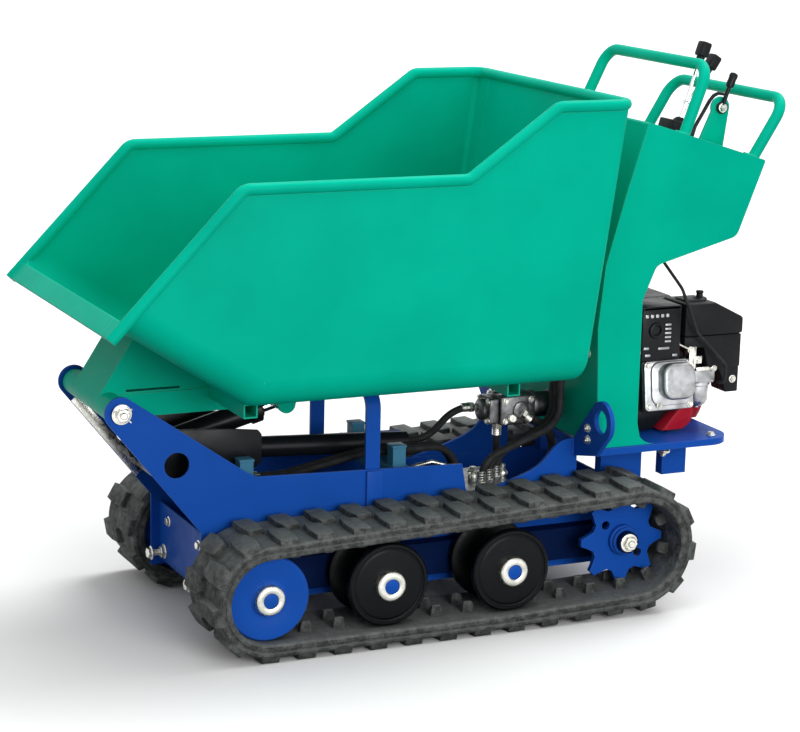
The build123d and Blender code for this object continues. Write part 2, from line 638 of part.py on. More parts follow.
def hinge_bracket():
    """The carrier under the skip: two rails with slotted gussets and a front plate, on the tube that turns on the pin."""
    slope = atan2(LIP_Z - FLOOR_Z, LIP_X - FLOOR_FRONT_X)
    half = BRACKET_HALF_WIDTH
    inner = half - BRACKET_SHEET
    foot = (HINGE_X + HINGE_TUBE_RADIUS * cos(slope), HINGE_Z + HINGE_TUBE_RADIUS * sin(slope))
    top = (foot[0] - BRACKET_RISE * sin(slope), foot[1] + BRACKET_RISE * cos(slope))
    back = (BRACKET_SHEET * cos(slope), BRACKET_SHEET * sin(slope))
    front = prism([foot, top, (top[0] - back[0], top[1] - back[1]), (foot[0] - back[0], foot[1] - back[1])], -half, half)
    gusset = prism([(BRACKET_BACK_X, RAIL_Z[1] - 1), (HINGE_X, RAIL_Z[1] - 1), (foot[0] - 2, foot[1]), (top[0] - 2, top[1]),
                    (BRACKET_BACK_X, top[1])], inner, half)
    gusset -= block(SLOT_X, (0, FAR), SLOT_Z)
    rail = block((BRACKET_BACK_X, HINGE_X - 8), (inner, half + RAIL_STEP), RAIL_Z)
    skip = skip_bucket(0, SKIP_BLANK_Z)
    side = CROSS_TUBE_SIDE / 2 + SEAT
    notch = block((CROSS_TUBE_X[0] - side, CROSS_TUBE_X[0] + side), (-FAR, FAR), (FLOOR_Z - CROSS_TUBE_SIDE - SEAT, FAR))
    tube = rod_y(HINGE_X, HINGE_Z, -HINGE_TUBE_END_Y, HINGE_TUBE_END_Y, HINGE_TUBE_RADIUS)
    carrier = tube + both_sides((gusset - skip - notch) + (rail - notch)) + (front - skip)
    return carrier - rod_y(HINGE_X, HINGE_Z, -FAR, FAR, HINGE_PIN_RADIUS + RUN_FIT)


def cross_tubes():
    """Two square tubes with open ends, across the underside of the skip's floor."""
    tubes = []
    for x in CROSS_TUBE_X:
        half = CROSS_TUBE_SIDE / 2
        tube = block((x - half, x + half), (-CROSS_TUBE_END_Y, CROSS_TUBE_END_Y), (FLOOR_Z - CROSS_TUBE_SIDE, FLOOR_Z))
        inner = half - CROSS_TUBE_WALL
        low = FLOOR_Z - CROSS_TUBE_SIDE + CROSS_TUBE_WALL
        tube -= block((x - inner, x + inner), (-FAR, FAR), (low, FLOOR_Z - CROSS_TUBE_WALL))
        tubes.append(tube)
    return tubes


def rod_lug():
    """The two cheeks under the skip's floor that take the rod's pin, on one base plate."""
    near = ROD_PIN_HALF + LUG_GAP
    far = near + LUG_SHEET
    seam = FLOOR_Z - LUG_SHEET
    base = block((ROD_PIN_X - LUG_FOOT, ROD_PIN_X + LUG_FOOT), (-far - LUG_SHEET, far + LUG_SHEET), (seam, FLOOR_Z))
    points = [(ROD_PIN_X - LUG_FOOT, seam), (ROD_PIN_X - LUG_ROUND, ROD_PIN_Z), (ROD_PIN_X + LUG_ROUND, ROD_PIN_Z),
              (ROD_PIN_X + LUG_FOOT, seam)]
    cheek = prism(points, near, far) + rod_y(ROD_PIN_X, ROD_PIN_Z, near, far, LUG_ROUND)
    return base + both_sides(cheek)


def along_cylinder(distance):
    """A point on the tipping cylinder's axis, at a distance from its base pin."""
    return (ACCESS_HOLE_X + distance * cos(CYLINDER_ANGLE), 0, ACCESS_HOLE_Z + distance * sin(CYLINDER_ANGLE))


def cylinder_barrel():
    """The tipping cylinder's barrel with its base eye and gland collar."""
    half = CYLINDER_EYE_HALF
    barrel = rod_between(along_cylinder(16), along_cylinder(BARREL_LENGTH), BARREL_RADIUS)
    barrel += rod_between(along_cylinder(BARREL_LENGTH - 22), along_cylinder(BARREL_LENGTH), BARREL_RADIUS + 4)
    barrel += rod_y(ACCESS_HOLE_X, ACCESS_HOLE_Z, -half, half, BARREL_EYE_RADIUS)
    barrel -= rod_y(ACCESS_HOLE_X, ACCESS_HOLE_Z, -90, 90, CYLINDER_PIN_RADIUS + RUN_FIT)
    bore = rod_between(along_cylinder(ROD_START - 8), along_cylinder(BARREL_LENGTH + 1), ROD_RADIUS + RUN_FIT)
    return barrel - bore


def cylinder_rod():
    """The plated rod with its eye and the pin held in it."""
    half = CYLINDER_EYE_HALF
    rod = rod_between(along_cylinder(ROD_START), along_cylinder(CYLINDER_LENGTH - 10), ROD_RADIUS)
    rod += rod_y(ROD_PIN_X, ROD_PIN_Z, -half, half, ROD_EYE_RADIUS)
    return rod + rod_y(ROD_PIN_X, ROD_PIN_Z, -ROD_PIN_HALF, ROD_PIN_HALF, CYLINDER_PIN_RADIUS)


def cylinder_anchor():
    """The cylinder's base pin in two lugs, on a square bar between the chassis plates."""
    near = BARREL_RADIUS + ANCHOR_GAP
    far = near + LUG_SHEET
    x, z = ANCHOR_BAR
    half = ANCHOR_BAR_SIDE / 2
    bar = block((x - half, x + half), (-PLATE_INNER_Y, PLATE_INNER_Y), (z - half, z + half))
    points = [(ACCESS_HOLE_X - ANCHOR_ROUND, ACCESS_HOLE_Z), (ACCESS_HOLE_X + ANCHOR_ROUND, ACCESS_HOLE_Z), (x + half, z),
              (x - half, z)]
    lug = prism(points, near, far) + rod_y(ACCESS_HOLE_X, ACCESS_HOLE_Z, near, far, ANCHOR_ROUND)
    reach = far + LUG_SHEET
    pin = rod_y(ACCESS_HOLE_X, ACCESS_HOLE_Z, -reach, reach, CYLINDER_PIN_RADIUS)
    return pin + bar + both_sides(lug)


def console_outline():
    """The console's outline seen from the side."""
    return [
        CONSOLE_TOP_FRONT, CONSOLE_TOP_REAR, CONSOLE_CHIN, CONSOLE_THROAT, (POST_BACK_X, CONSOLE_THROAT[1] - 75),
        (POST_BACK_X, PLATFORM_TOP + 50), (POST_BACK_X - 12, PLATFORM_TOP), (POST_FRONT_X - 10, PLATFORM_TOP),
        (POST_FRONT_X, POST_KNEE_Z), (POST_FRONT_X - 13, POST_BEND_Z), CONSOLE_BROW,
    ]


def console_panels():
    """The console's folded sheets: two sides, front, sloping top, and the underside with the post's back."""
    inner_y = CONSOLE_HALF_WIDTH - CONSOLE_SHEET
    whole = prism(console_outline(), -CONSOLE_HALF_WIDTH, CONSOLE_HALF_WIDTH)
    sharp = [edge for edge in cross_edges(whole) if edge.center().Z > CONSOLE_TOP_REAR[1] - 20]
    whole = fillet(sharp, CONSOLE_TOP_CORNER)
    soft = [edge for edge in cross_edges(whole) if PLATFORM_TOP + 20 < edge.center().Z < CONSOLE_TOP_REAR[1] - 20]
    whole = fillet(soft, CONSOLE_CORNER)
    left = whole & block((-FAR, 0), (inner_y, CONSOLE_HALF_WIDTH), (0, FAR))
    slab = left.faces().sort_by(Axis.Y)[-1]
    core = offset(slab, amount=-CONSOLE_SHEET)
    hollow = Pos(0, 20, 0) * extrude(core, amount=-2 * CONSOLE_HALF_WIDTH - 40)
    skin = (whole & block((-FAR, 0), (-inner_y, inner_y), (0, FAR))) - hollow
    skin -= block((-FAR, 0), (-inner_y - 1, inner_y + 1), (PLATFORM_TOP - 1, PLATFORM_TOP + CONSOLE_SHEET))
    brow = CONSOLE_TOP_FRONT
    tail = CONSOLE_TOP_REAR
    lid_zone = prism([(brow[0], brow[1] + 60), (brow[0], brow[1] - 30), (tail[0] + 60, tail[1] - 12),
                      (tail[0] - 60, tail[1] - 40), (tail[0] - 60, brow[1] + 60)], -FAR, FAR)
    front_zone = prism([(brow[0], brow[1] + 60), (brow[0], brow[1] - 30), (POST_FRONT_X - 60, POST_BEND_Z),
                        (POST_FRONT_X - 60, 0), (0, 0), (0, brow[1] + 60)], -FAR, FAR)
    top = skin & lid_zone
    front = skin & front_zone
    back = skin - lid_zone - front_zone
    shaft = rod_x(CASE_REAR_X, 0, CRANK_Y, CRANK_Z, 62)
    left += console_foot(inner_y)
    return left, mirror(left, about=Plane.XZ), front, top, back - shaft


def console_foot(inner_y):
    """The curved foot that runs out behind the post on a side panel."""
    top = (POST_BACK_X, PLATFORM_TOP + FLARE_RISE)
    tip = (POST_BACK_X - FLARE_REACH, PLATFORM_TOP)
    waist = (POST_BACK_X - FLARE_REACH * 0.22, PLATFORM_TOP + FLARE_RISE * 0.27)
    root = (POST_BACK_X + CONSOLE_SHEET, PLATFORM_TOP)
    curve = ThreePointArc(*[(x, inner_y, z) for x, z in (top, waist, tip)])
    rest = Polyline(*[(x, inner_y, z) for x, z in (tip, root, (root[0], top[1]), top)])
    return extrude(make_face([curve, rest]), amount=CONSOLE_SHEET, dir=(0, 1, 0))


def console_top_z(x):
    """The height of the console's sloping top at a place along it."""
    return CONSOLE_TOP_FRONT[1] + (x - CONSOLE_TOP_FRONT[0]) * CONSOLE_SLOPE


def handle(foot_x, top):
    """A bent tube across the console's top, leaning back from its two feet."""
    x, y, z = top
    foot_z = console_top_z(foot_x)
    path = FilletPolyline((foot_x, -HANDLE_FOOT_Y, foot_z - 20), (x, -y, z), (x, y, z), (foot_x, HANDLE_FOOT_Y, foot_z - 20),
                          radius=HANDLE_BEND)
    bar = tube_along(path, HANDLE_RADIUS)
    return bar - prism(console_outline(), -CONSOLE_HALF_WIDTH - 50, CONSOLE_HALF_WIDTH + 50)


def control_levers():
    """A valve block on the console with two plated levers and their block knobs."""
    length, width, height = LEVER_BLOCK
    x, y = LEVER_FOOT
    foot_z = console_top_z(x)
    tilt = degrees(atan2(CONSOLE_SLOPE, 1))
    base = Pos(x, y, foot_z) * Rot(0, -tilt, 0) * Pos(0, 0, height / 2) * Box(length, width, height)
    for knob_x, knob_y, knob_z in LEVER_KNOBS:
        lean = degrees(atan2(x - knob_x, knob_z - foot_z))
        base += rod_between((x, knob_y, foot_z + height / 2), (knob_x, knob_y, knob_z), LEVER_RADIUS)
        knob = Pos(knob_x, knob_y, knob_z) * Rot(0, -lean, 0) * Box(*KNOB_SIZE)
        base += chamfer(knob.edges(), 4)
    return base


def throttle_lever():
    """A rounded bracket plate on the console with the drive lever pivoted on it."""
    x, z = THROTTLE_PIVOT
    low = THROTTLE_Y - THROTTLE_PLATE / 2
    high = THROTTLE_Y + THROTTLE_PLATE / 2
    root = (x - CONSOLE_SLOPE * (console_top_z(x) - z), 0)
    rear = root[0] - THROTTLE_FOOT
    front = root[0] + THROTTLE_FOOT
    plate = prism([(rear, console_top_z(rear)), (front, console_top_z(front)), (x + THROTTLE_ROUND, z),
                   (x - THROTTLE_ROUND, z)], low, high)
    plate += rod_y(x, z, low, high, THROTTLE_ROUND)
    plate += rod_y(x, z, low - 10, high + 10, 9)
    lever = rod_between((x, THROTTLE_Y + 8, z), (THROTTLE_TIP[0], THROTTLE_Y + 8, THROTTLE_TIP[1]), THROTTLE_RADIUS)
    grip = rod_between(((x + THROTTLE_TIP[0]) / 2, THROTTLE_Y + 8, (z + THROTTLE_TIP[1]) / 2),
                       (THROTTLE_TIP[0], THROTTLE_Y + 8, THROTTLE_TIP[1]), THROTTLE_RADIUS + 4)
    return plate + lever + grip


def engine_case():
    """The crankcase on its foot flange, with the output shaft."""
    low = CRANK_Y - CASE_HALF_WIDTH
    high = CRANK_Y + CASE_HALF_WIDTH
    case = block((CASE_FRONT_X, CASE_REAR_X), (low, high), (PLATFORM_TOP + 10, CASE_TOP_Z))
    case = fillet(case.edges().filter_by(Axis.X), 22)
    case += block((CASE_FRONT_X, CASE_REAR_X), (low - 12, high + 12), (PLATFORM_TOP, PLATFORM_TOP + 14))
    case += rod_x(CASE_FRONT_X - 1, CASE_FRONT_X + 8, CRANK_Y, CRANK_Z, 56)
    return case + rod_x(CASE_FRONT_X, POST_FRONT_X - 20, CRANK_Y, CRANK_Z, 12)


def engine_plane(distance):
    """A plane square to the engine's tilted cylinder, at a distance from the crank."""
    tilt = radians(CYLINDER_TILT)
    out = Vector(0, cos(tilt), sin(tilt))
    middle_x = (CASE_FRONT_X + CASE_REAR_X) / 2
    origin = Vector(middle_x, CRANK_Y, CRANK_Z) + out * distance
    return Plane(origin=origin, x_dir=(1, 0, 0), z_dir=out)


def engine_cylinder():
    """The finned cylinder and head, tilted up to the left."""
    core = extrude(engine_plane(CYLINDER_START - 34) * Circle(CYLINDER_CORE_RADIUS),
                   amount=CYLINDER_END - CYLINDER_START + 34)
    gap = (CYLINDER_END - CYLINDER_START - FIN_THICK) / (FIN_COUNT - 1)
    for n in range(FIN_COUNT):
        fin = engine_plane(CYLINDER_START + n * gap) * RectangleRounded(*FIN_SIZE, 10)
        core += extrude(fin, amount=FIN_THICK)
    return core - engine_case()


def rocker_cover():
    """The flanged cover on the end of the cylinder head."""
    cover = extrude(engine_plane(CYLINDER_END) * RectangleRounded(*ROCKER_SIZE, 16), amount=ROCKER_FLANGE)
    length, height = ROCKER_SIZE
    bulge = engine_plane(CYLINDER_END) * RectangleRounded(length - 2 * ROCKER_STEP, height - 2 * ROCKER_STEP, 20)
    dome = extrude(bulge, amount=ROCKER_LENGTH)
    return cover + fillet(dome.faces().sort_by(Axis.Y)[-1].edges(), ROCKER_STEP)


def fan_housing():
    """The fan's drum at the back of the engine with the recoil starter's cap."""
    drum = rod_x(CASE_REAR_X - FAN_DEPTH, CASE_REAR_X, CRANK_Y, CRANK_Z, FAN_RADIUS)
    drum = fillet(drum.edges().group_by(Axis.X)[0], 18)
    cap = rod_x(CASE_REAR_X - FAN_DEPTH - RECOIL_DEPTH, CASE_REAR_X - FAN_DEPTH + 1, CRANK_Y, CRANK_Z, RECOIL_RADIUS)
    cap = fillet(cap.edges().group_by(Axis.X)[0], 12)
    return (drum + cap) - block((-FAR, 0), (-FAR, FAR), (0, PLATFORM_TOP + 2))


def air_cleaner():
    """The air cleaner's box over the carburettor, stepped over the fins and sloping at the back."""
    outline = [(AIR_FRONT_X, AIR_STEP_Z), (AIR_FRONT_X, AIR_TOP_Z), (AIR_SLOPE_X, AIR_TOP_Z),
               (AIR_REAR_X, AIR_REAR_TOP_Z), (AIR_REAR_X, AIR_BOTTOM_Z), (AIR_STEP_X, AIR_BOTTOM_Z),
               (AIR_STEP_X, AIR_STEP_Z)]
    box = prism(outline, *AIR_Y)
    return fillet(box.edges(), 8)


def carburettor():
    """The carburettor under the air cleaner, with its bowl."""
    x = CARB_X
    y = (AIR_Y[0] + AIR_Y[1]) / 2
    length, width, height = CARB_SIZE
    body = block((x - length / 2, x + length / 2), (y - width / 2, y + width / 2), (AIR_BOTTOM_Z - height, AIR_BOTTOM_Z))
    bowl = Pos(x, y, AIR_BOTTOM_Z - height - 14) * Cylinder(22, 30)
    fin_end = (CASE_FRONT_X + CASE_REAR_X - FIN_SIZE[0]) / 2
    return body + bowl + rod_x(x, fin_end - SEAT, y, AIR_BOTTOM_Z - height / 2, 15)


def fuel_tank():
    """The fuel tank over the crankcase, with its filler cap."""
    tank = block(TANK_X, TANK_Y, TANK_Z)
    tank = fillet(tank.edges().filter_by(Axis.Z), TANK_CORNER)
    tank = fillet(tank.edges().group_by(Axis.Z)[-1], 16)
    middle = ((TANK_X[0] + TANK_X[1]) / 2, (TANK_Y[0] + TANK_Y[1]) / 2)
    tank += Pos(*middle, TANK_Z[1] + 6) * Cylinder(32, 18)
    feet = block((TANK_X[0] - 10, TANK_X[1] + 60), (CRANK_Y - 60, CRANK_Y + 40), (CASE_TOP_Z, TANK_Z[0] + 1))
    return tank + feet


def muffler():
    """The exhaust's box over the head, with its lid, its round outlet and the pipe down to the cylinder."""
    box = block(MUFFLER_X, MUFFLER_Y, MUFFLER_Z)
    box = fillet(box.edges().filter_by(Axis.Z), 10)
    edge = MUFFLER_LID_EDGE
    box += block((MUFFLER_X[0] + edge, MUFFLER_X[1] - edge), (MUFFLER_Y[0] - edge, MUFFLER_Y[1] + edge),
                 (MUFFLER_Z[1] - 1, MUFFLER_Z[1] + MUFFLER_LID))
    x = (MUFFLER_X[0] + MUFFLER_X[1]) / 2
    y = (MUFFLER_Y[0] + MUFFLER_Y[1]) / 2
    z = (MUFFLER_Z[0] + MUFFLER_Z[1]) / 2
    box -= rod_y(MUFFLER_X[0] - 2 * OUTLET_RADIUS, z, y, MUFFLER_Y[1] + 1, OUTLET_RADIUS)
    fin_top = CRANK_Z + FIN_SIZE[1] / 2 + (y - CRANK_Y) * sin(radians(CYLINDER_TILT))
    pipe = rod_between((x, y, MUFFLER_Z[0] + 4), (x, y, fin_top), 15)
    whole = box + pipe - engine_cylinder()
    return whole.solids().sort_by(SortBy.VOLUME)[-1]


def hydraulic_pump():
    """The pump's block with the bell that joins it to the post."""
    low = PUMP_Z - PUMP_HEIGHT / 2
    high = PUMP_Z + PUMP_HEIGHT / 2
    pump = block((PUMP_FRONT_X, PUMP_REAR_X), (PUMP_Y - PUMP_WIDTH / 2, PUMP_Y + PUMP_WIDTH / 2), (low, high))
    pump = fillet(pump.edges().filter_by(Axis.X), 9)
    pump += rod_x(POST_FRONT_X - 10, PUMP_REAR_X + 1, PUMP_Y, PUMP_Z, BELL_RADIUS)
    pump += rod_x(POST_FRONT_X - 30, POST_FRONT_X + 10, PUMP_Y, PUMP_Z, BELL_RADIUS + 7)
    return pump - prism(console_outline(), -CONSOLE_HALF_WIDTH, CONSOLE_HALF_WIDTH)


def reservoir():
    """The oil tube along the chassis, with round ends."""
    ends = [(x, 0, reservoir_z(x)) for x in (RESERVOIR_FRONT_X, RESERVOIR_REAR_X)]
    return rod_between(*ends, RESERVOIR_RADIUS)


def reservoir_z(x):
    """The height of the oil tube's axis, which lies on the rear cross bar and rises to the front."""
    seat = CROSS_BAR_Z + CROSS_BAR_HEIGHT + (RESERVOIR_RADIUS + SEAT) * hypot(1, RESERVOIR_SLOPE)
    return seat + (x - STUB_X[1] + STUB_SIDE) * RESERVOIR_SLOPE


def valve_block():
    """The hydraulic valve's block on the left chassis plate, with stepped ends."""
    block_body = block(VALVE_X, VALVE_Y, VALVE_Z)
    return chamfer(block_body.edges().filter_by(Axis.Y), 6)


def hose(*points):
    """A hose through a row of points with rounded bends."""
    return tube_along(FilletPolyline(*points, radius=HOSE_BEND), HOSE_RADIUS)


def hydraulic_hoses():
    """The hoses from the console, the pump and the oil tube to the valve's block and the cylinder's feed."""
    top = VALVE_Z[1] + SEAT
    hoses = []
    lean = (POST_HOSE_TOP_Z - POST_KNEE_Z) / (POST_BEND_Z - POST_KNEE_Z)
    face = POST_FRONT_X - 13 * lean
    post = prism(console_outline(), -CONSOLE_HALF_WIDTH, CONSOLE_HALF_WIDTH)
    for y, foot in zip(POST_HOSE_Y, POST_HOSE_FOOT_X):
        line = hose((face, y, POST_HOSE_TOP_Z), (POST_HOSE_X, y, POST_HOSE_TOP_Z - 90), (POST_HOSE_X, y, POST_HOSE_TURN_Z),
                    (foot, y, top + HOSE_BEND), (foot, y, top))
        hoses.append(line - post)
    bar_face = STUB_X[0] - 22 - SEAT
    bar_z = CROSS_BAR_Z + CROSS_BAR_HEIGHT / 2
    for y in TIP_HOSE_Y:
        hoses.append(hose((TIP_HOSE_X, y, top), (TIP_HOSE_X, y, TIP_HOSE_Z), (STUB_X[1] + 60, y, TIP_HOSE_Z),
                          (bar_face - 90, y, bar_z), (bar_face, y, bar_z)))
    pump_low = PUMP_Z - PUMP_HEIGHT / 2 - SEAT
    feed_x = VALVE_X[1] + 2 * HOSE_RADIUS
    hoses.append(rod_between((feed_x, PUMP_Y, pump_low), (feed_x, PUMP_Y, top), HOSE_RADIUS))
    tank_x = RESERVOIR_REAR_X - 1
    tank_z = reservoir_z(tank_x)
    hoses.append(hose((PUMP_FRONT_X + SEAT, PUMP_Y - 24, PUMP_Z), (PUMP_FRONT_X + 46, PUMP_Y - 24, PUMP_Z),
                      (tank_x - 50, 0, tank_z), (tank_x, 0, tank_z)))
    return hoses


def throttle_cable():
    """The throttle's cable from the console's underside to the carburettor."""
    x, y = CABLE_START
    slope = (CONSOLE_CHIN[1] - CONSOLE_THROAT[1]) / (CONSOLE_CHIN[0] - CONSOLE_THROAT[0])
    start_z = CONSOLE_THROAT[1] + (x - CONSOLE_THROAT[0]) * slope - CABLE_RADIUS
    carb_y = (AIR_Y[0] + AIR_Y[1] + CARB_SIZE[1]) / 2 + SEAT
    carb_z = AIR_BOTTOM_Z - CARB_SIZE[2] / 2
    path = FilletPolyline((x, y, start_z), (x - 35, CABLE_Y, MUFFLER_Z[1] + 50), (x - 80, CABLE_Y, AIR_STEP_Z + 40),
                          (CARB_X, CABLE_Y, AIR_BOTTOM_Z + 10), (CARB_X, CABLE_Y, carb_z), (CARB_X, carb_y, carb_z),
                          radius=CABLE_BEND)
    return tube_along(path, CABLE_RADIUS)


def save_all():
    """Build every node and write it out."""
    left_frame = track_frame()
    left_track = track()
    save("track_left", left_track)
    save("track_right", mirror(left_track, about=Plane.XZ))
    save("track_frame_left", left_frame)
    save("track_frame_right", mirror(left_frame, about=Plane.XZ))
    idler = wheel_pair(IDLER_X, IDLER_Z, IDLER_RADIUS, IDLER_RADIUS - 8, HUB_RADIUS)
    save("idlers", *both_sides(idler))
    rollers = [wheel_pair(x, ROLLER_Z, ROLLER_RADIUS, ROLLER_FACE_RADIUS, HUB_RADIUS) for x in ROLLER_X]
    save("track_rollers", *[piece for roller in rollers for piece in both_sides(roller)])
    save("sprockets", *both_sides(sprocket()))
    save("drive_motors", *both_sides(drive_motor()))
    side = chassis_side()
    save("chassis_side_left", side)
    save("chassis_side_right", mirror(side, about=Plane.XZ))
    save("chassis_belly", chassis_belly())
    save("hinge_pin", rod_y(HINGE_X, HINGE_Z, -HINGE_PIN_END_Y, HINGE_PIN_END_Y, HINGE_PIN_RADIUS))
    save("skip_rest_hoop", hoop())
    save("chassis_cross_bars", *cross_bars())
    save("lifting_brackets", *both_sides(lifting_bracket()))
    save("engine_platform", engine_platform())
    save("cylinder_anchor", cylinder_anchor())
    left, right, floor, back = skip_panels()
    save("skip_side_left", left)
    save("skip_side_right", right)
    save("skip_floor", floor)
    save("skip_back", back)
    save("skip_hinge_bracket", hinge_bracket())
    save("skip_cross_tubes", *cross_tubes())
    save("skip_rod_lug", rod_lug())
    save("cylinder_barrel", cylinder_barrel())
    save("cylinder_rod", cylinder_rod())
    left, right, front, top, back = console_panels()
    save("console_side_left", left)
    save("console_side_right", right)
    save("console_front", front)
    save("console_top", top)
    save("console_back", back)
    save("handle_front", handle(FRONT_HANDLE_FOOT_X, FRONT_HANDLE_TOP))
    save("handle_rear", handle(REAR_HANDLE_FOOT_X, REAR_HANDLE_TOP))
    save("control_levers", control_levers())
    save("throttle_lever", throttle_lever())
    save("engine_case", engine_case())
    save("engine_cylinder", engine_cylinder())
    save("rocker_cover", rocker_cover())
    save("fan_housing", fan_housing())
    save("air_cleaner", air_cleaner())
    save("carburettor", carburettor())
    save("fuel_tank", fuel_tank())
    save("muffler", muffler())
    save("hydraulic_pump", hydraulic_pump())
    save("oil_reservoir", reservoir())
    save("valve_block", valve_block())
    save("hydraulic_hoses", *hydraulic_hoses())
    save("throttle_cable", throttle_cable())


os.makedirs("parts", exist_ok=True)
save_all()
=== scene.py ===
"""Looks of a walk-behind tracked site dumper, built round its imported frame.

Pieces are drawn in millimetres, +X forward, +Y left, +Z up, from a point 18 mm behind the frame's origin.
"""
from __future__ import annotations

import json
import logging
import math
import random
from dataclasses import dataclass, field
from enum import Enum

import bmesh
import bpy
from mathutils import Matrix, Vector


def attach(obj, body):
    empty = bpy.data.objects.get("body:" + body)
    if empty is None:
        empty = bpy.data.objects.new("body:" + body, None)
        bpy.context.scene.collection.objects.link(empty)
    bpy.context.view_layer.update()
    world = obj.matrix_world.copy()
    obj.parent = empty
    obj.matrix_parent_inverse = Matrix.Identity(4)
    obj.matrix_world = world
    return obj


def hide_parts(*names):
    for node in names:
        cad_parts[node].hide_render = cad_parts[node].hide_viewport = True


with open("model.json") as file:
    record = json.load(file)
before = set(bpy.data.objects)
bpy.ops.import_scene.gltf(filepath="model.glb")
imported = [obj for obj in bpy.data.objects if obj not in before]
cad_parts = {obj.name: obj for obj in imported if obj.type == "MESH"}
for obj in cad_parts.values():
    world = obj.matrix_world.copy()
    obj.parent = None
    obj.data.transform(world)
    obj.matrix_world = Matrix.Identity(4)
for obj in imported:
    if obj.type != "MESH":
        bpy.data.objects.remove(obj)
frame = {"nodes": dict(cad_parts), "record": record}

LOG = logging.getLogger("site_dumper")
MM = 0.001
BEHIND = 18.0
SIDES = (1, -1)
Colour = tuple[float, float, float]
Spot = tuple[float, float, float]
Outline = list[tuple[float, float]]


class Body(Enum):
    """The bodies that pieces ride on."""

    CHASSIS = "chassis"
    SKIP = "skip"
    BARREL = "barrel"
    ROD = "rod"


class Way(Enum):
    """The machine's axes, as directions."""

    FORWARD = (1.0, 0.0, 0.0)
    BACK = (-1.0, 0.0, 0.0)
    LEFT = (0.0, 1.0, 0.0)
    RIGHT = (0.0, -1.0, 0.0)
    UP = (0.0, 0.0, 1.0)
    DOWN = (0.0, 0.0, -1.0)

    @property
    def vector(self) -> Vector:
        """The direction as a vector."""
        return Vector(self.value)


@dataclass
class Shader:
    """A material's node tree with short calls to add and join nodes."""

    material: bpy.types.Material

    def __post_init__(self) -> None:
        """Clears the tree and sets its surface shader."""
        self.material.use_nodes = True
        self.tree = self.material.node_tree
        self.tree.nodes.clear()
        self.output = self.add("ShaderNodeOutputMaterial")
        self.surface = self.add("ShaderNodeBsdfPrincipled")
        self.join(self.surface, "BSDF", self.output, "Surface")
        self.place = self.add("ShaderNodeTexCoord")

    def add(self, kind: str, **values: object) -> bpy.types.Node:
        """Adds a node.

        Args:
            kind: The node's type.
            values: Node properties, or input values by their names with underscores for spaces.

        Returns:
            The new node.
        """
        node = self.tree.nodes.new(kind)
        for key, value in values.items():
            label = key.replace("_", " ")
            if label in node.inputs:
                node.inputs[label].default_value = value
            else:
                setattr(node, key, value)
        return node

    def join(self, start: bpy.types.Node, out: str | int, end: bpy.types.Node, into: str | int) -> None:
        """Links one node's output to another's input."""
        self.tree.links.new(start.outputs[out], end.inputs[into])

    def noise(self, scale: float, detail: float = 3.0, roughness: float = 0.55) -> bpy.types.Node:
        """A noise texture in the piece's own metres."""
        node = self.add("ShaderNodeTexNoise", Scale=scale, Detail=detail, Roughness=roughness)
        self.join(self.place, "Object", node, "Vector")
        return node

    def spread(self, source: bpy.types.Node, out: str | int, low: float, high: float,
               start: float = 0.35, end: float = 0.65) -> bpy.types.Node:
        """Maps part of a value's range on to another range."""
        node = self.add("ShaderNodeMapRange", clamp=True)
        for label, value in (("From Min", start), ("From Max", end), ("To Min", low), ("To Max", high)):
            node.inputs[label].default_value = value
        self.join(source, out, node, "Value")
        return node

    def blend(self, factor: bpy.types.Node, first: Colour, second: Colour) -> bpy.types.Node:
        """Mixes two colours by a value."""
        node = self.add("ShaderNodeMix", data_type="RGBA")
        node.inputs[6].default_value = (*first, 1.0)
        node.inputs[7].default_value = (*second, 1.0)
        self.join(factor, 0, node, 0)
        return node

    def tint(self, factor: bpy.types.Node, base: bpy.types.Node, colour: Colour) -> bpy.types.Node:
        """Mixes a colour over an earlier mix by a value."""
        node = self.blend(factor, colour, colour)
        self.join(base, 2, node, 6)
        return node

    def edge(self, radius: float) -> tuple[bpy.types.Node, bpy.types.Node]:
        """A rounded-edge normal, and a value that rises towards sharp edges.

        Args:
            radius: The rounding's radius in metres.

        Returns:
            The bevel node and the edge value's node.
        """
        bevel = self.add("ShaderNodeBevel", samples=4, Radius=radius)
        true = self.add("ShaderNodeNewGeometry")
        dot = self.add("ShaderNodeVectorMath", operation="DOT_PRODUCT")
        self.join(bevel, "Normal", dot, 0)
        self.join(true, "True Normal", dot, 1)
        return bevel, self.spread(dot, "Value", 1.0, 0.0, 0.86, 0.985)

    def relief(self, source: bpy.types.Node, strength: float, depth: float,
               under: bpy.types.Node | None = None) -> bpy.types.Node:
        """A bump from a texture, over an earlier normal if there is one."""
        node = self.add("ShaderNodeBump", Strength=strength, Distance=depth)
        self.join(source, 0, node, "Height")
        if under is not None:
            self.join(under, "Normal", node, "Normal")
        return node


@dataclass(frozen=True)
class Finish:
    """A finish that every piece of one kind of surface shares."""

    name: str
    slot: str
    colour: Colour

    def material(self) -> bpy.types.Material:
        """The finish's material, made once."""
        label = f"{self.name}_finish"
        made = bpy.data.materials.get(label)
        if made is None:
            made = bpy.data.materials.new(label)
            made.diffuse_color = (*self.colour, 1.0)
            self.draw(Shader(made))
        return made

    def shade(self, factor: float) -> Colour:
        """The colour made darker or lighter."""
        return tuple(min(1.0, part * factor) for part in self.colour)

    def draw(self, shader: Shader) -> None:
        """Draws the finish's nodes."""
        shader.surface.inputs["Base Color"].default_value = (*self.colour, 1.0)


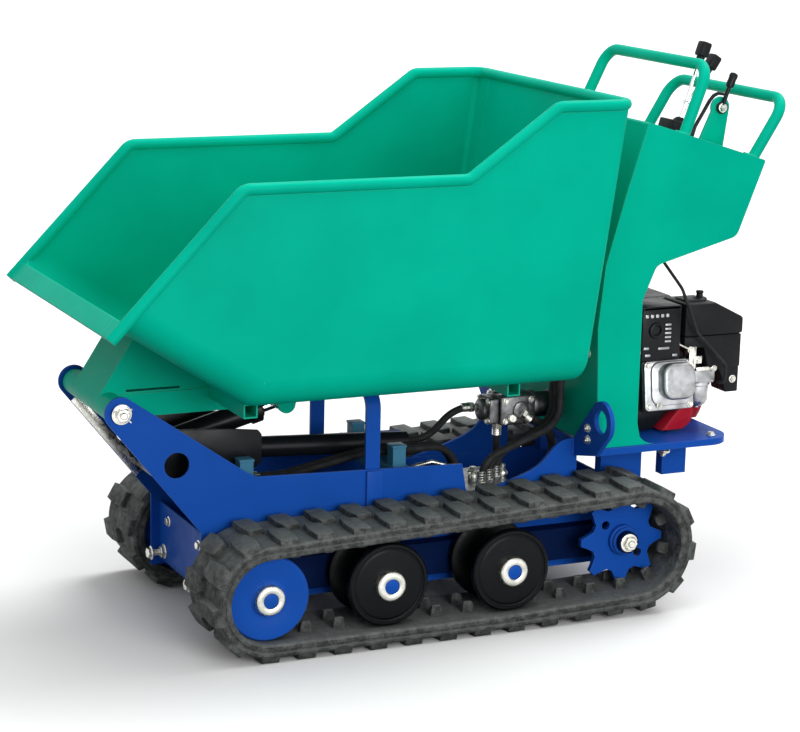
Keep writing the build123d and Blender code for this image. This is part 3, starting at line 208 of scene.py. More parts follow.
@dataclass(frozen=True)
class Paint(Finish):
    """Sprayed machine enamel with a faint orange peel and edges painted paler as a painted highlight."""

    gloss: float = 0.34
    shine: float = 0.06
    peel: float = 0.05
    edge_highlight_lift: float = 1.25
    edge_highlight_pale: float = 0.05

    def draw(self, shader: Shader) -> None:
        """Draws cloudy colour, peel and edges painted paler as a painted highlight."""
        cloud = shader.spread(shader.noise(5.0), 0, 0.0, 1.0)
        colour = shader.blend(cloud, self.shade(0.93), self.shade(1.05))
        bevel, edge = shader.edge(0.0024)
        # Sharp edges are painted paler here: a painted highlight.
        colour = shader.tint(edge, colour, tuple(part * self.edge_highlight_lift + self.edge_highlight_pale for part in self.colour))
        shader.join(colour, 2, shader.surface, "Base Color")
        rough = shader.spread(shader.noise(38.0), 0, self.gloss - 0.04, self.gloss + 0.06)
        shader.join(rough, 0, shader.surface, "Roughness")
        peel = shader.relief(shader.noise(420.0, 2.0), self.peel, 0.0005, bevel)
        shader.join(peel, 0, shader.surface, "Normal")
        shader.surface.inputs["Specular IOR Level"].default_value = self.shine


@dataclass(frozen=True)
class Rubber(Finish):
    """Matt moulded rubber with scuffs, a grey bloom, tops painted lighter as a painted highlight and crevices painted
    darker as painted shade.
    """

    bloom: float = 2.6
    shine: float = 0.3
    grain: float = 0.35
    painted_top_light: float = 0.0

    def draw(self, shader: Shader) -> None:
        """Draws a mottled bloom, scuffed edges, upward faces painted lighter as a painted highlight, crevices painted
        darker as painted shade, and a coarse skin.
        """
        mottle = shader.spread(shader.noise(48.0, 6.0, 0.78), 0, 0.0, 1.0, 0.42, 0.6)
        colour = shader.blend(mottle, self.colour, self.shade(self.bloom))
        bevel, edge = shader.edge(0.003)
        scuff = shader.add("ShaderNodeMath", operation="MULTIPLY")
        shader.join(edge, 0, scuff, 0)
        shader.join(shader.spread(shader.noise(70.0), 0, 0.15, 0.8), 0, scuff, 1)
        colour = shader.tint(scuff, colour, self.shade(self.bloom * 1.5))
        # Faces that look up are painted lighter: a painted highlight from the light above.
        facing = shader.add("ShaderNodeSeparateXYZ")
        shader.join(shader.add("ShaderNodeNewGeometry"), "Normal", facing, 0)
        lit_top = shader.spread(facing, "Z", 0.0, self.painted_top_light, 0.3, 0.95)
        colour = shader.tint(lit_top, colour, self.shade(self.bloom * 1.9))
        # Crevices between the lugs are painted darker from ambient occlusion: painted shade.
        crevice_shade = shader.add("ShaderNodeAmbientOcclusion", samples=6, Distance=0.03)
        colour = shader.tint(shader.spread(crevice_shade, "AO", 0.85, 0.0, 0.35, 0.9), colour, self.shade(0.4))
        shader.join(colour, 2, shader.surface, "Base Color")
        rough = shader.spread(shader.noise(50.0), 0, 0.62, 0.86)
        shader.join(rough, 0, shader.surface, "Roughness")
        coarse = shader.relief(shader.noise(95.0, 5.0, 0.65), self.grain, 0.0022, bevel)
        fine = shader.relief(shader.noise(620.0, 3.0), 0.25, 0.0006, coarse)
        shader.join(fine, 0, shader.surface, "Normal")
        shader.surface.inputs["Specular IOR Level"].default_value = self.shine


@dataclass(frozen=True)
class Metal(Finish):
    """Bare, cast or plated metal."""

    gloss: float = 0.35
    grain_scale: float = 420.0
    grain: float = 0.12
    soot: float = 0.7
    metallic: float = 1.0

    def draw(self, shader: Shader) -> None:
        """Draws a cloudy metal with a fine grain."""
        cloud = shader.spread(shader.noise(34.0, 4.0), 0, 0.0, 1.0)
        colour = shader.blend(cloud, self.shade(self.soot), self.shade(1.08))
        shader.join(colour, 2, shader.surface, "Base Color")
        rough = shader.spread(shader.noise(120.0), 0, max(0.04, self.gloss - 0.08), self.gloss + 0.1)
        shader.join(rough, 0, shader.surface, "Roughness")
        bevel, _ = shader.edge(0.0011)
        grain = shader.relief(shader.noise(self.grain_scale, 3.0), self.grain, 0.0007, bevel)
        shader.join(grain, 0, shader.surface, "Normal")
        shader.surface.inputs["Metallic"].default_value = self.metallic


@dataclass(frozen=True)
class Plastic(Finish):
    """Moulded black plastic with a spark-eroded grain."""

    gloss: float = 0.42
    shine: float = 0.13

    def draw(self, shader: Shader) -> None:
        """Draws a fine grain and edges painted paler as a painted highlight."""
        cloud = shader.spread(shader.noise(18.0), 0, 0.0, 1.0)
        colour = shader.blend(cloud, self.shade(0.85), self.shade(1.25))
        bevel, edge = shader.edge(0.0018)
        # Sharp edges are painted paler here: a painted highlight.
        colour = shader.tint(edge, colour, self.shade(2.2))
        shader.join(colour, 2, shader.surface, "Base Color")
        rough = shader.spread(shader.noise(90.0), 0, self.gloss - 0.06, self.gloss + 0.08)
        shader.join(rough, 0, shader.surface, "Roughness")
        grain = shader.relief(shader.noise(900.0, 2.0), 0.18, 0.0004, bevel)
        shader.join(grain, 0, shader.surface, "Normal")
        shader.surface.inputs["Specular IOR Level"].default_value = self.shine


SKIP_GREEN = Paint("skip_green", "green_paint", (0.0, 0.48, 0.32), shine=0.025)
CHASSIS_BLUE = Paint("chassis_blue", "blue_paint", (0.009, 0.086, 0.45), gloss=0.38, shine=0.06)
# A darker copy of the chassis blue, used as painted shade on the track frames.
SHADED_FRAME_BLUE = Paint("shaded_frame_blue", "blue_paint", (0.003, 0.012, 0.06), gloss=0.42, shine=0.03, edge_highlight_pale=0.0)
STUB_TEAL = Paint("stub_teal", "teal_paint", (0.06, 0.22, 0.35))
FAN_RED = Paint("fan_red", "red_paint", (0.42, 0.012, 0.028), gloss=0.28)
# Satin black gets a stronger painted highlight on its edges.
SATIN_BLACK = Paint("satin_black", "black_paint", (0.007, 0.008, 0.01), gloss=0.32, shine=0.16, edge_highlight_lift=2.4,
                    edge_highlight_pale=0.0)
TRACK_RUBBER = Rubber("track_rubber", "rubber", (0.024, 0.026, 0.025), bloom=4.6, painted_top_light=0.5)
HOSE_RUBBER = Rubber("hose_rubber", "hose_rubber", (0.011, 0.011, 0.012), bloom=1.5, grain=0.08)
ROLLER_BLACK = Plastic("roller_black", "roller_black", (0.0025, 0.003, 0.004), gloss=0.34, shine=0.12)
MOULDED_BLACK = Plastic("moulded_black", "black_plastic", (0.009, 0.0095, 0.011))
CAST_ALLOY = Metal("cast_alloy", "cast_alloy", (0.46, 0.47, 0.48), gloss=0.36, grain=0.35, soot=0.6, metallic=0.9)
DARK_STEEL = Metal("dark_steel", "dark_steel", (0.1, 0.1, 0.105), gloss=0.42)
ZINC = Metal("zinc", "zinc", (0.78, 0.77, 0.7), gloss=0.3)
PUMP_ALLOY = Metal("pump_alloy", "cast_alloy", (0.2, 0.205, 0.21), gloss=0.34, grain=0.5, soot=0.3, metallic=0.85)
CHROME = Metal("chrome", "chrome", (0.86, 0.86, 0.88), gloss=0.14, grain=0.0, soot=0.9)
FINISHES = (SKIP_GREEN, CHASSIS_BLUE, STUB_TEAL, FAN_RED, SATIN_BLACK, TRACK_RUBBER, HOSE_RUBBER, ROLLER_BLACK,
            MOULDED_BLACK, CAST_ALLOY, DARK_STEEL, ZINC, CHROME)


def standing(origin: Spot | Vector, axis: Vector) -> Matrix:
    """A frame at a point with its Z along an axis.

    Args:
        origin: The frame's origin.
        axis: The direction of its Z.

    Returns:
        The frame as a matrix.
    """
    return Matrix.Translation(origin) @ axis.to_track_quat("Z", "Y").to_matrix().to_4x4()


@dataclass
class Form:
    """A mesh under construction, in millimetres of the machine's frame."""

    name: str
    mesh: bmesh.types.BMesh = field(default_factory=bmesh.new)

    def skin(self, rings: list[list[Vector]], looped: bool = False) -> None:
        """Joins rows of points, each of the same length, into a closed skin.

        Args:
            rings: The rows of points.
            looped: Whether the last row joins the first, in place of end caps.
        """
        rows = [[self.mesh.verts.new(point) for point in ring] for ring in rings]
        pairs = list(zip(rows, rows[1:]))
        if looped:
            pairs.append((rows[-1], rows[0]))
        for low, high in pairs:
            count = len(low)
            for n in range(count):
                after = (n + 1) % count
                self.mesh.faces.new((low[n], low[after], high[after], high[n]))
        if not looped:
            self.mesh.faces.new(rows[0])
            self.mesh.faces.new(rows[-1])

    def lathe(self, profile: Outline, origin: Spot, axis: Vector, steps: int = 40, ring: bool = False) -> None:
        """A turned form.

        Args:
            profile: Radii and heights along the axis, in order.
            origin: Where height nought is.
            axis: The axis of turning.
            steps: Points round the axis.
            ring: Whether the profile closes on itself, as in a ring.
        """
        place = standing(origin, axis)
        turns = [2 * math.pi * n / steps for n in range(steps)]
        rings = [[place @ Vector((max(radius, 0.02) * math.cos(a), max(radius, 0.02) * math.sin(a), height))
                  for a in turns] for radius, height in profile]
        self.skin(rings, looped=ring)

    def tube(self, path: list[Vector], radius: float, sides: int = 14, ripple: float = 0.0) -> None:
        """A round bar along a row of points.

        Args:
            path: The points.
            radius: The bar's radius.
            sides: Points round the bar.
            ripple: How much every other ring swells, as a share of the radius.
        """
        turn = (path[1] - path[0]).to_track_quat("Z", "Y")
        rings = []
        for n, point in enumerate(path):
            ahead = path[min(n + 1, len(path) - 1)] - path[max(n - 1, 0)]
            turn = (turn @ Vector((0, 0, 1))).rotation_difference(ahead) @ turn
            size = radius * (1.0 + ripple * (n % 2))
            rings.append([point + turn @ Vector((size * math.cos(2 * math.pi * k / sides),
                                                 size * math.sin(2 * math.pi * k / sides), 0)) for k in range(sides)])
        self.skin(rings)

    def prism(self, outline: Outline, place: Matrix, depth: float, bevel: float = 0.0, segments: int = 2) -> None:
        """A flat outline carried along its frame's Z, with rounded edges.

        Args:
            outline: The corners in the frame's X and Y.
            place: The frame.
            depth: How far it goes along Z.
            bevel: The rounding of its sharp edges.
            segments: Steps in the rounding.
        """
        rows = [[self.mesh.verts.new(place @ Vector((u, v, height))) for u, v in outline] for height in (0.0, depth)]
        count = len(outline)
        faces = [self.mesh.faces.new(rows[0]), self.mesh.faces.new(rows[1])]
        for n in range(count):
            after = (n + 1) % count
            faces.append(self.mesh.faces.new((rows[0][n], rows[0][after], rows[1][after], rows[1][n])))
        if bevel:
            bmesh.ops.recalc_face_normals(self.mesh, faces=faces)
            edges = {edge for face in faces for edge in face.edges}
            sharp = [edge for edge in edges if edge.calc_face_angle(0.0) > math.radians(28)]
            bmesh.ops.bevel(self.mesh, geom=sharp, offset=bevel, segments=segments, profile=0.5, affect="EDGES",
                            clamp_overlap=True)

    def box(self, low: Spot, high: Spot, bevel: float = 1.5, segments: int = 2) -> None:
        """A box between two corners with rounded edges."""
        outline = [(low[0], low[1]), (high[0], low[1]), (high[0], high[1]), (low[0], high[1])]
        self.prism(outline, Matrix.Translation((0, 0, low[2])), high[2] - low[2], bevel, segments)

    def side_plate(self, outline: Outline, low_y: float, high_y: float, bevel: float = 1.0) -> None:
        """An X-Z outline carried across the machine."""
        place = Matrix(((1, 0, 0, 0), (0, 0, 1, low_y), (0, 1, 0, 0), (0, 0, 0, 1)))
        self.prism(outline, place, high_y - low_y, bevel)

    def plate_pair(self, outline: Outline, near: float, far: float, bevel: float) -> None:
        """The same X-Z plate on both sides, between two distances from the middle."""
        for side in SIDES:
            self.side_plate(outline, *sorted((side * near, side * far)), bevel)

    def box_pair(self, low: Spot, high: Spot, bevel: float) -> None:
        """The same box on both sides."""
        for side in SIDES:
            near, far = sorted((side * low[1], side * high[1]))
            self.box((low[0], near, low[2]), (high[0], far, high[2]), bevel)

    def hexagon(self, origin: Spot | Vector, axis: Vector, radius: float,
                steps: tuple[tuple[float, float], ...]) -> None:
        """A six-sided form whose steps are shares of a radius and heights along an axis."""
        place = standing(origin, axis)
        turns = [math.pi * n / 3 for n in range(6)]
        self.skin([[place @ Vector((radius * share * math.cos(a), radius * share * math.sin(a), height)) for a in turns]
                   for share, height in steps])

    def bolt(self, origin: Spot | Vector, axis: Vector, across: float, shank: float = 0.0) -> None:
        """A hexagon head on its washer, or a nut with some thread showing.

        Args:
            origin: The seat's middle.
            axis: The way that the head points.
            across: The size across the corners.
            shank: How far the thread stands out past the nut.
        """
        radius = across / 2
        washer = [(radius * 1.28, -0.4), (radius * 1.28, 1.0), (radius * 1.2, 1.5), (radius * 0.5, 1.5)]
        self.lathe(washer, origin, axis, 28)
        height = across * 0.36
        self.hexagon(origin, axis, radius, ((1.0, 1.3), (1.0, height - 0.8), (0.88, height + 0.6)))
        if shank:
            thread = radius * 0.5
            turns = max(2, int(shank / 1.2))
            profile = [(thread, height - 1.0)]
            for n in range(turns):
                level = height + shank * n / turns
                profile += [(thread, level), (thread * 0.86, level + shank / turns * 0.5)]
            profile += [(thread * 0.8, height + shank), (0.0, height + shank)]
            self.lathe(profile, origin, axis, 16)

    def fitting(self, origin: Spot | Vector, axis: Vector, radius: float, reach: float) -> None:
        """A hose's swaged end: a hexagon nut and a ribbed ferrule.

        Args:
            origin: The seat's middle.
            axis: The way that the hose leaves.
            radius: The hose's radius.
            reach: The end's length.
        """
        nut = reach * 0.42
        self.hexagon(origin, axis, radius, ((1.34, 0.0), (1.5, 1.4), (1.5, nut - 1.4), (1.34, nut)))
        profile = [(radius * 0.9, nut - 1)]
        for n in range(4):
            level = nut + (reach - nut) * n / 4
            profile += [(radius * 1.3, level + 0.6), (radius * 1.3, level + reach * 0.1),
                        (radius * 1.17, level + reach * 0.12)]
        profile += [(radius * 1.05, reach), (radius * 0.9, reach)]
        self.lathe(profile, origin, axis, 24)

    def weld(self, path: list[Vector], radius: float, pitch: float = 4.0) -> None:
        """A rippled weld bead along a row of points."""
        points = [path[0]]
        for start, end in zip(path, path[1:]):
            steps = max(2, int((end - start).length / pitch))
            points += [start.lerp(end, (n + 1) / steps) for n in range(steps)]
        self.tube(points, radius, 8, 0.16)

    def piece(self, finish: Finish, body: Body, *stands_for: str, smooth: float = 38.0) -> bpy.types.Object:
        """Turns the form into a piece that rides on a body.

        Args:
            finish: The finish of its surface.
            body: The body it moves with.
            stands_for: The nodes that it is shown in place of.
            smooth: The angle in degrees above which an edge stays sharp.

        Returns:
            The piece.
        """
        bmesh.ops.translate(self.mesh, vec=(-BEHIND, 0, 0), verts=self.mesh.verts)
        bmesh.ops.scale(self.mesh, vec=(MM, MM, MM), verts=self.mesh.verts)
        bmesh.ops.recalc_face_normals(self.mesh, faces=self.mesh.faces)
        data = bpy.data.meshes.new(self.name)
        self.mesh.to_mesh(data)
        self.mesh.free()
        data.shade_smooth()
        data.set_sharp_from_angle(angle=math.radians(smooth))
        data.materials.append(finish.material())
        made = bpy.data.objects.new(self.name, data)
        bpy.context.scene.collection.objects.link(made)
        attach(made, body.value)
        if stands_for:
            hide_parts(*stands_for)
        LOG.info("%s: %d faces on %s", self.name, len(data.polygons), body.value)
        return made


@dataclass
class Studio:
    """The camera, the pale floor and the soft light."""

    eye: Spot = (2.1847, 4.6709, 1.660)
    yaw: float = 24.617
    pitch: float = 12.609
    roll: float = 1.234
    lens: float = 108.06
    shift: tuple[float, float] = (0.01357, 0.00321)
    floor_half: float = 60.0
    floor_unseen: float = 0.16
    floor_seen: float = 0.93
    floor_glow: float = 0.36
    glow_span: tuple[float, float] = (0.75, 2.4)
    sky: float = 0.52
    key_power: float = 1.7
    key_angle: float = 32.0
    key_spot: Spot = (-3.3, -1.3, 5.6)
    key_aim: Spot = (0.0, 0.0, 0.4)
    softbox_aim: Spot = (0.0, 0.0, 0.6)

    def build(self) -> None:
        """Builds all of the studio."""
        bpy.context.scene.view_settings.view_transform = "Standard"
        self.camera()
        self.floor()
        self.light()

    def camera(self) -> None:
        """Sets the camera where the photograph was taken from."""
        yaw, pitch, roll = (math.radians(angle) for angle in (self.yaw, self.pitch, self.roll))
        look = Vector((-math.sin(yaw) * math.cos(pitch), -math.cos(yaw) * math.cos(pitch), -math.sin(pitch)))
        level = Vector((-math.cos(yaw), math.sin(yaw), 0.0))
        above = level.cross(look)
        right = level * math.cos(roll) + above * math.sin(roll)
        up = above * math.cos(roll) - level * math.sin(roll)
        data = bpy.data.cameras.new("camera")
        data.lens = self.lens
        data.sensor_width = 36.0
        data.shift_x, data.shift_y = self.shift
        data.clip_end = 200.0
        camera = bpy.data.objects.new("camera", data)
        turn = Matrix((right, up, -look)).transposed().to_4x4()
        camera.matrix_world = Matrix.Translation(self.eye) @ turn
        bpy.context.scene.collection.objects.link(camera)
        bpy.context.scene.camera = camera

    def floor(self) -> None:
        """Lays a pale floor that keeps the object's shadow; for the camera it glows more away from the machine, so the
        floor close round it stays darker as painted shade.
        """
        mesh = bpy.data.meshes.new("floor")
        half = self.floor_half
        mesh.from_pydata([(-half, -half, 0), (half, -half, 0), (half, half, 0), (-half, half, 0)], [], [(0, 1, 2, 3)])
        material = bpy.data.materials.new("floor")
        shader = Shader(material)
        shader.surface.inputs["Roughness"].default_value = 0.8
        shader.surface.inputs["Specular IOR Level"].default_value = 0.1
        path = shader.add("ShaderNodeLightPath")
        seen = self.seen(shader.tree, path)
        shade = shader.add("ShaderNodeMix", data_type="RGBA")
        shade.inputs[6].default_value = (*[self.floor_unseen] * 3, 1.0)
        shade.inputs[7].default_value = (*[self.floor_seen] * 3, 1.0)
        shader.tree.links.new(seen, shade.inputs[0])
        shader.join(shade, 2, shader.surface, "Base Color")
        # The glow is nought near the machine and grows with distance, which leaves painted shade on the floor round it.
        reach = shader.add("ShaderNodeVectorMath", operation="LENGTH")
        shader.join(shader.place, "Object", reach, 0)
        far = shader.spread(reach, "Value", 0.0, self.floor_glow, *self.glow_span)
        lift = shader.add("ShaderNodeMath", operation="MULTIPLY")
        shader.join(far, 0, lift, 0)
        shader.tree.links.new(seen, lift.inputs[1])
        glow = shader.add("ShaderNodeEmission")
        shader.join(lift, 0, glow, "Strength")
        both = shader.add("ShaderNodeAddShader")
        shader.join(shader.surface, "BSDF", both, 0)
        shader.join(glow, 0, both, 1)
        shader.join(both, 0, shader.output, "Surface")
        mesh.materials.append(material)
        floor = bpy.data.objects.new("floor", mesh)
        bpy.context.scene.collection.objects.link(floor)

    def seen(self, tree: bpy.types.NodeTree, path: bpy.types.Node) -> bpy.types.NodeSocket:
        """A value that is one for rays that show the backdrop: to the camera, in gloss and through glass."""
        total = path.outputs["Is Camera Ray"]
        for label in ("Is Glossy Ray", "Is Transmission Ray"):
            most = tree.nodes.new("ShaderNodeMath")
            most.operation = "MAXIMUM"
            tree.links.new(total, most.inputs[0])
            tree.links.new(path.outputs[label], most.inputs[1])
            total = most.outputs[0]
        return total

    def light(self) -> None:
        """Hangs a soft sky, a broad key and two softboxes."""
        world = bpy.data.worlds.new("sky")
        bpy.context.scene.world = world
        world.use_nodes = True
        tree = world.node_tree
        backdrop = tree.nodes["Background"]
        path = tree.nodes.new("ShaderNodeLightPath")
        mix = tree.nodes.new("ShaderNodeMix")
        mix.data_type = "FLOAT"
        mix.inputs[2].default_value = self.sky
        mix.inputs[3].default_value = 1.0
        tree.links.new(self.seen(tree, path), mix.inputs[0])
        tree.links.new(mix.outputs[0], backdrop.inputs["Strength"])
        backdrop.inputs["Color"].default_value = (1.0, 1.0, 1.0, 1.0)
        key = bpy.data.lights.new("key", "SUN")
        key.energy = self.key_power
        key.angle = math.radians(self.key_angle)
        self.hang(key, self.key_spot, self.key_aim)
        for name, spot, power, size in (("softbox_top", (0.5, 0.3, 3.4), 30.0, 2.2),
                                        ("softbox_left", (-0.2, 5.0, 1.6), 130.0, 2.6)):
            lamp = bpy.data.lights.new(name, "AREA")
            lamp.energy = power
            lamp.size = size
            self.hang(lamp, spot, self.softbox_aim)

    def hang(self, lamp: bpy.types.Light, spot: Spot, aim: Spot) -> None:
        """Hangs a lamp that points at a place."""
        hung = bpy.data.objects.new(lamp.name, lamp)
        hung.location = spot
        hung.rotation_euler = (Vector(aim) - Vector(spot)).to_track_quat("-Z", "Y").to_euler()
        bpy.context.scene.collection.objects.link(hung)


@dataclass
class Loop:
    """A belt's path round wheels, from the top of the first towards the top of the second."""

    wheels: tuple[Spot, ...]
    offset: float = 0.0

    def __post_init__(self) -> None:
        """Works out points close together round the loop."""
        outs = [self.outward(n) for n in range(len(self.wheels))]
        self.points: list[Vector] = []
        for n, (x, z, radius) in enumerate(self.wheels):
            first = math.atan2(outs[n - 1].z, outs[n - 1].x)
            sweep = (math.atan2(outs[n].z, outs[n].x) - first) % (2 * math.pi)
            for k in range(49):
                turn = first + sweep * k / 48
                reach = radius + self.offset
                self.points.append(Vector((x + reach * math.cos(turn), 0, z + reach * math.sin(turn))))
        self.points = self.points[48:] + self.points[:49]
        self.marks = [0.0]
        for start, end in zip(self.points, self.points[1:]):
            self.marks.append(self.marks[-1] + (end - start).length)

    def outward(self, n: int) -> Vector:
        """The outward direction of the straight run after a wheel."""
        x, z, radius = self.wheels[n]
        next_x, next_z, next_radius = self.wheels[(n + 1) % len(self.wheels)]
        run = Vector((next_x - x, 0, next_z - z))
        part = (radius - next_radius) / run.length
        ahead = run.normalized()
        return ahead * part + Vector((ahead.z, 0, -ahead.x)) * math.sqrt(1 - part * part)

    def frame_at(self, share: float, y: float) -> Matrix:
        """A frame on the loop.

        Args:
            share: How far round the loop, from nought to one.
            y: The frame's place across the machine.

        Returns:
            A frame with X along the loop, Y across it and Z outward.
        """
        length = (share % 1.0) * self.marks[-1]
        n = 0
        while n < len(self.marks) - 2 and self.marks[n + 1] <= length:
            n += 1
        start, end = self.points[n], self.points[n + 1]
        spot = start.lerp(end, (length - self.marks[n]) / max(self.marks[n + 1] - self.marks[n], 1e-6))
        ahead = (end - start).normalized()
        out = Vector((ahead.z, 0, -ahead.x))
        return Matrix(((ahead.x, 0, out.x, spot.x), (0, 1, 0, y), (ahead.z, 0, out.z, spot.z), (0, 0, 0, 1)))


@dataclass
class Undercarriage:
    """The rubber tracks, the wheels inside them and the wheels' hubs."""

    middle_y: float = 270.0
    half_width: float = 90.0
    band: float = 28.0
    lug: float = 11.5
    lug_half: float = 20.0
    steps: int = 31
    idler: Spot = (473.0, 130.0, 90.0)
    rollers: tuple[Spot, ...] = ((203.0, 130.0, 90.0), (-83.0, 130.0, 90.0))
    sprocket: Spot = (-382.0, 153.0, 103.0)

    def build(self) -> None:
        """Builds both sides."""
        for side, name in ((1, "left"), (-1, "right")):
            self.track(side, f"track_{name}")
        self.wheel_set()
        self.hubs()

    def track(self, side: int, node: str) -> None:
        """Moulds one track: belt, staggered lugs and two rows of guide horns."""
        form = Form(f"{node}_moulded")
        wheels = (self.idler, self.sprocket, self.rollers[1])
        inner, outer = Loop(wheels), Loop(wheels, self.band)
        half, thick = self.half_width, self.band
        section = [(-half, 4), (3 - half, 0), (half - 3, 0), (half, 4), (half, 11), (half - 2.5, 13), (half - 2.5, 17),
                   (half, 19), (half, thick - 4), (half - 3, thick), (3 - half, thick), (-half, thick - 4), (-half, 19),
                   (2.5 - half, 17), (2.5 - half, 13), (-half, 11)]
        count = 248
        rings = []
        for n in range(count):
            place = inner.frame_at(n / count, side * self.middle_y)
            rings.append([place @ Vector((0, y, out)) for y, out in section])
        form.skin(rings, looped=True)
        rough = random.Random(5)
        for n in range(self.steps):
            for half_side, shift in ((-1, 0.0), (1, 0.5)):
                way = half_side * side
                place = outer.frame_at((n + shift) / self.steps, side * self.middle_y)
                nose = rough.uniform(-3.0, 3.0)
                foot = self.lug_half
                outline = [(-foot, way * (half - 1)), (foot, way * (half - 1)), (foot + 5, way * (half - 34)),
                           (foot - 1, way * (2 + nose)), (4 - foot, way * (nose - 3)), (-foot - 4, way * (half - 42))]
                self.stud(form, place, outline, self.lug, 3.0)
                place = inner.frame_at(n / self.steps, side * self.middle_y + way * 28)
                horn = [(-14, -7), (14, -7), (14, 7), (-14, 7)]
                self.stud(form, place @ Matrix.Diagonal((1, 1, -1, 1)), horn, 22.0, 4.5)
        form.piece(TRACK_RUBBER, Body.CHASSIS, node, smooth=32.0)

    def stud(self, form: Form, place: Matrix, outline: Outline, height: float, draft: float) -> None:
        """Stands a block that narrows upwards on a frame.

        Args:
            form: The form it joins.
            place: Its frame.
            outline: Its foot.
            height: How far it stands up.
            draft: How much each side leans in.
        """
        middle = [sum(point[k] for point in outline) / len(outline) for k in (0, 1)]
        rings = []
        steps = ((-5.0, 0.0), (height * 0.7, draft * 0.7), (height * 0.93, draft * 1.1), (height, draft * 1.9))
        for level, lean in steps:
            ring = []
            for point in outline:
                out = [point[k] - middle[k] for k in (0, 1)]
                reach = math.hypot(*out)
                ring.append(place @ Vector((*[middle[k] + out[k] * (1 - lean / reach) for k in (0, 1)], level)))
            rings.append(ring)
        form.skin(rings)

    def wheel_set(self) -> None:
        """Turns the blue idlers and the black rollers."""
        idlers = Form("idlers_turned")
        rollers = Form("track_rollers_turned")
        flat = [(17.2, -62), (82, -62), (89.6, -57), (89.6, -47), (80, -42), (36, -40), (36, 40), (80, 42), (89.6, 47),
                (89.6, 58), (86, 62)]
        idler = flat + [(52, 62), (46, 59.5), (38, 59.0), (36, 61.5), (30, 62), (17.2, 62)]
        roller = flat + [(81, 62), (79.5, 59.4), (77, 58.6), (74.5, 60.4), (71, 61), (40, 61), (34, 61.8), (17.2, 61.8)]
        for side in SIDES:
            axis = Way.LEFT.vector * side
            x, z, _ = self.idler
            idlers.lathe(idler, (x, side * self.middle_y, z), axis, 72, ring=True)
            for x, z, _ in self.rollers:
                rollers.lathe(roller, (x, side * self.middle_y, z), axis, 72, ring=True)
        idlers.piece(CHASSIS_BLUE, Body.CHASSIS, "idlers", smooth=30.0)
        rollers.piece(ROLLER_BLACK, Body.CHASSIS, "track_rollers", smooth=30.0)

    def hubs(self) -> None:
        """Adds plated hub rings, the sprockets' bosses and their nuts."""
        rings = Form("hub_rings")
        bosses = Form("sprocket_bosses")
        nuts = Form("sprocket_nuts")
        ring = [(26.2, 61), (32.5, 61), (32.5, 73), (30, 77), (26, 78.5), (19, 78.5), (16.5, 77), (16.5, 74.4),
                (26.2, 74.4)]
        centre = [(0, 73), (16.2, 73), (16.2, 75), (14, 76.2), (0, 76.6)]
        boss = [(17.5, 6), (34, 6), (34, 14), (31, 17), (25, 18), (24, 23), (17.5, 23)]
        for side in SIDES:
            axis = Way.LEFT.vector * side
            for x, z, _ in (self.idler, *self.rollers):
                rings.lathe(ring, (x, side * self.middle_y, z), axis, 48, ring=True)
                bosses.lathe(centre, (x, side * self.middle_y, z), axis, 32)
            x, z, _ = self.sprocket
            bosses.lathe(boss, (x, side * self.middle_y, z), axis, 40, ring=True)
            nuts.bolt((x, side * (self.middle_y + 38.4), z), axis, 32.0, 4.0)
        rings.piece(ZINC, Body.CHASSIS)
        bosses.piece(CHASSIS_BLUE, Body.CHASSIS)
        nuts.piece(ZINC, Body.CHASSIS)


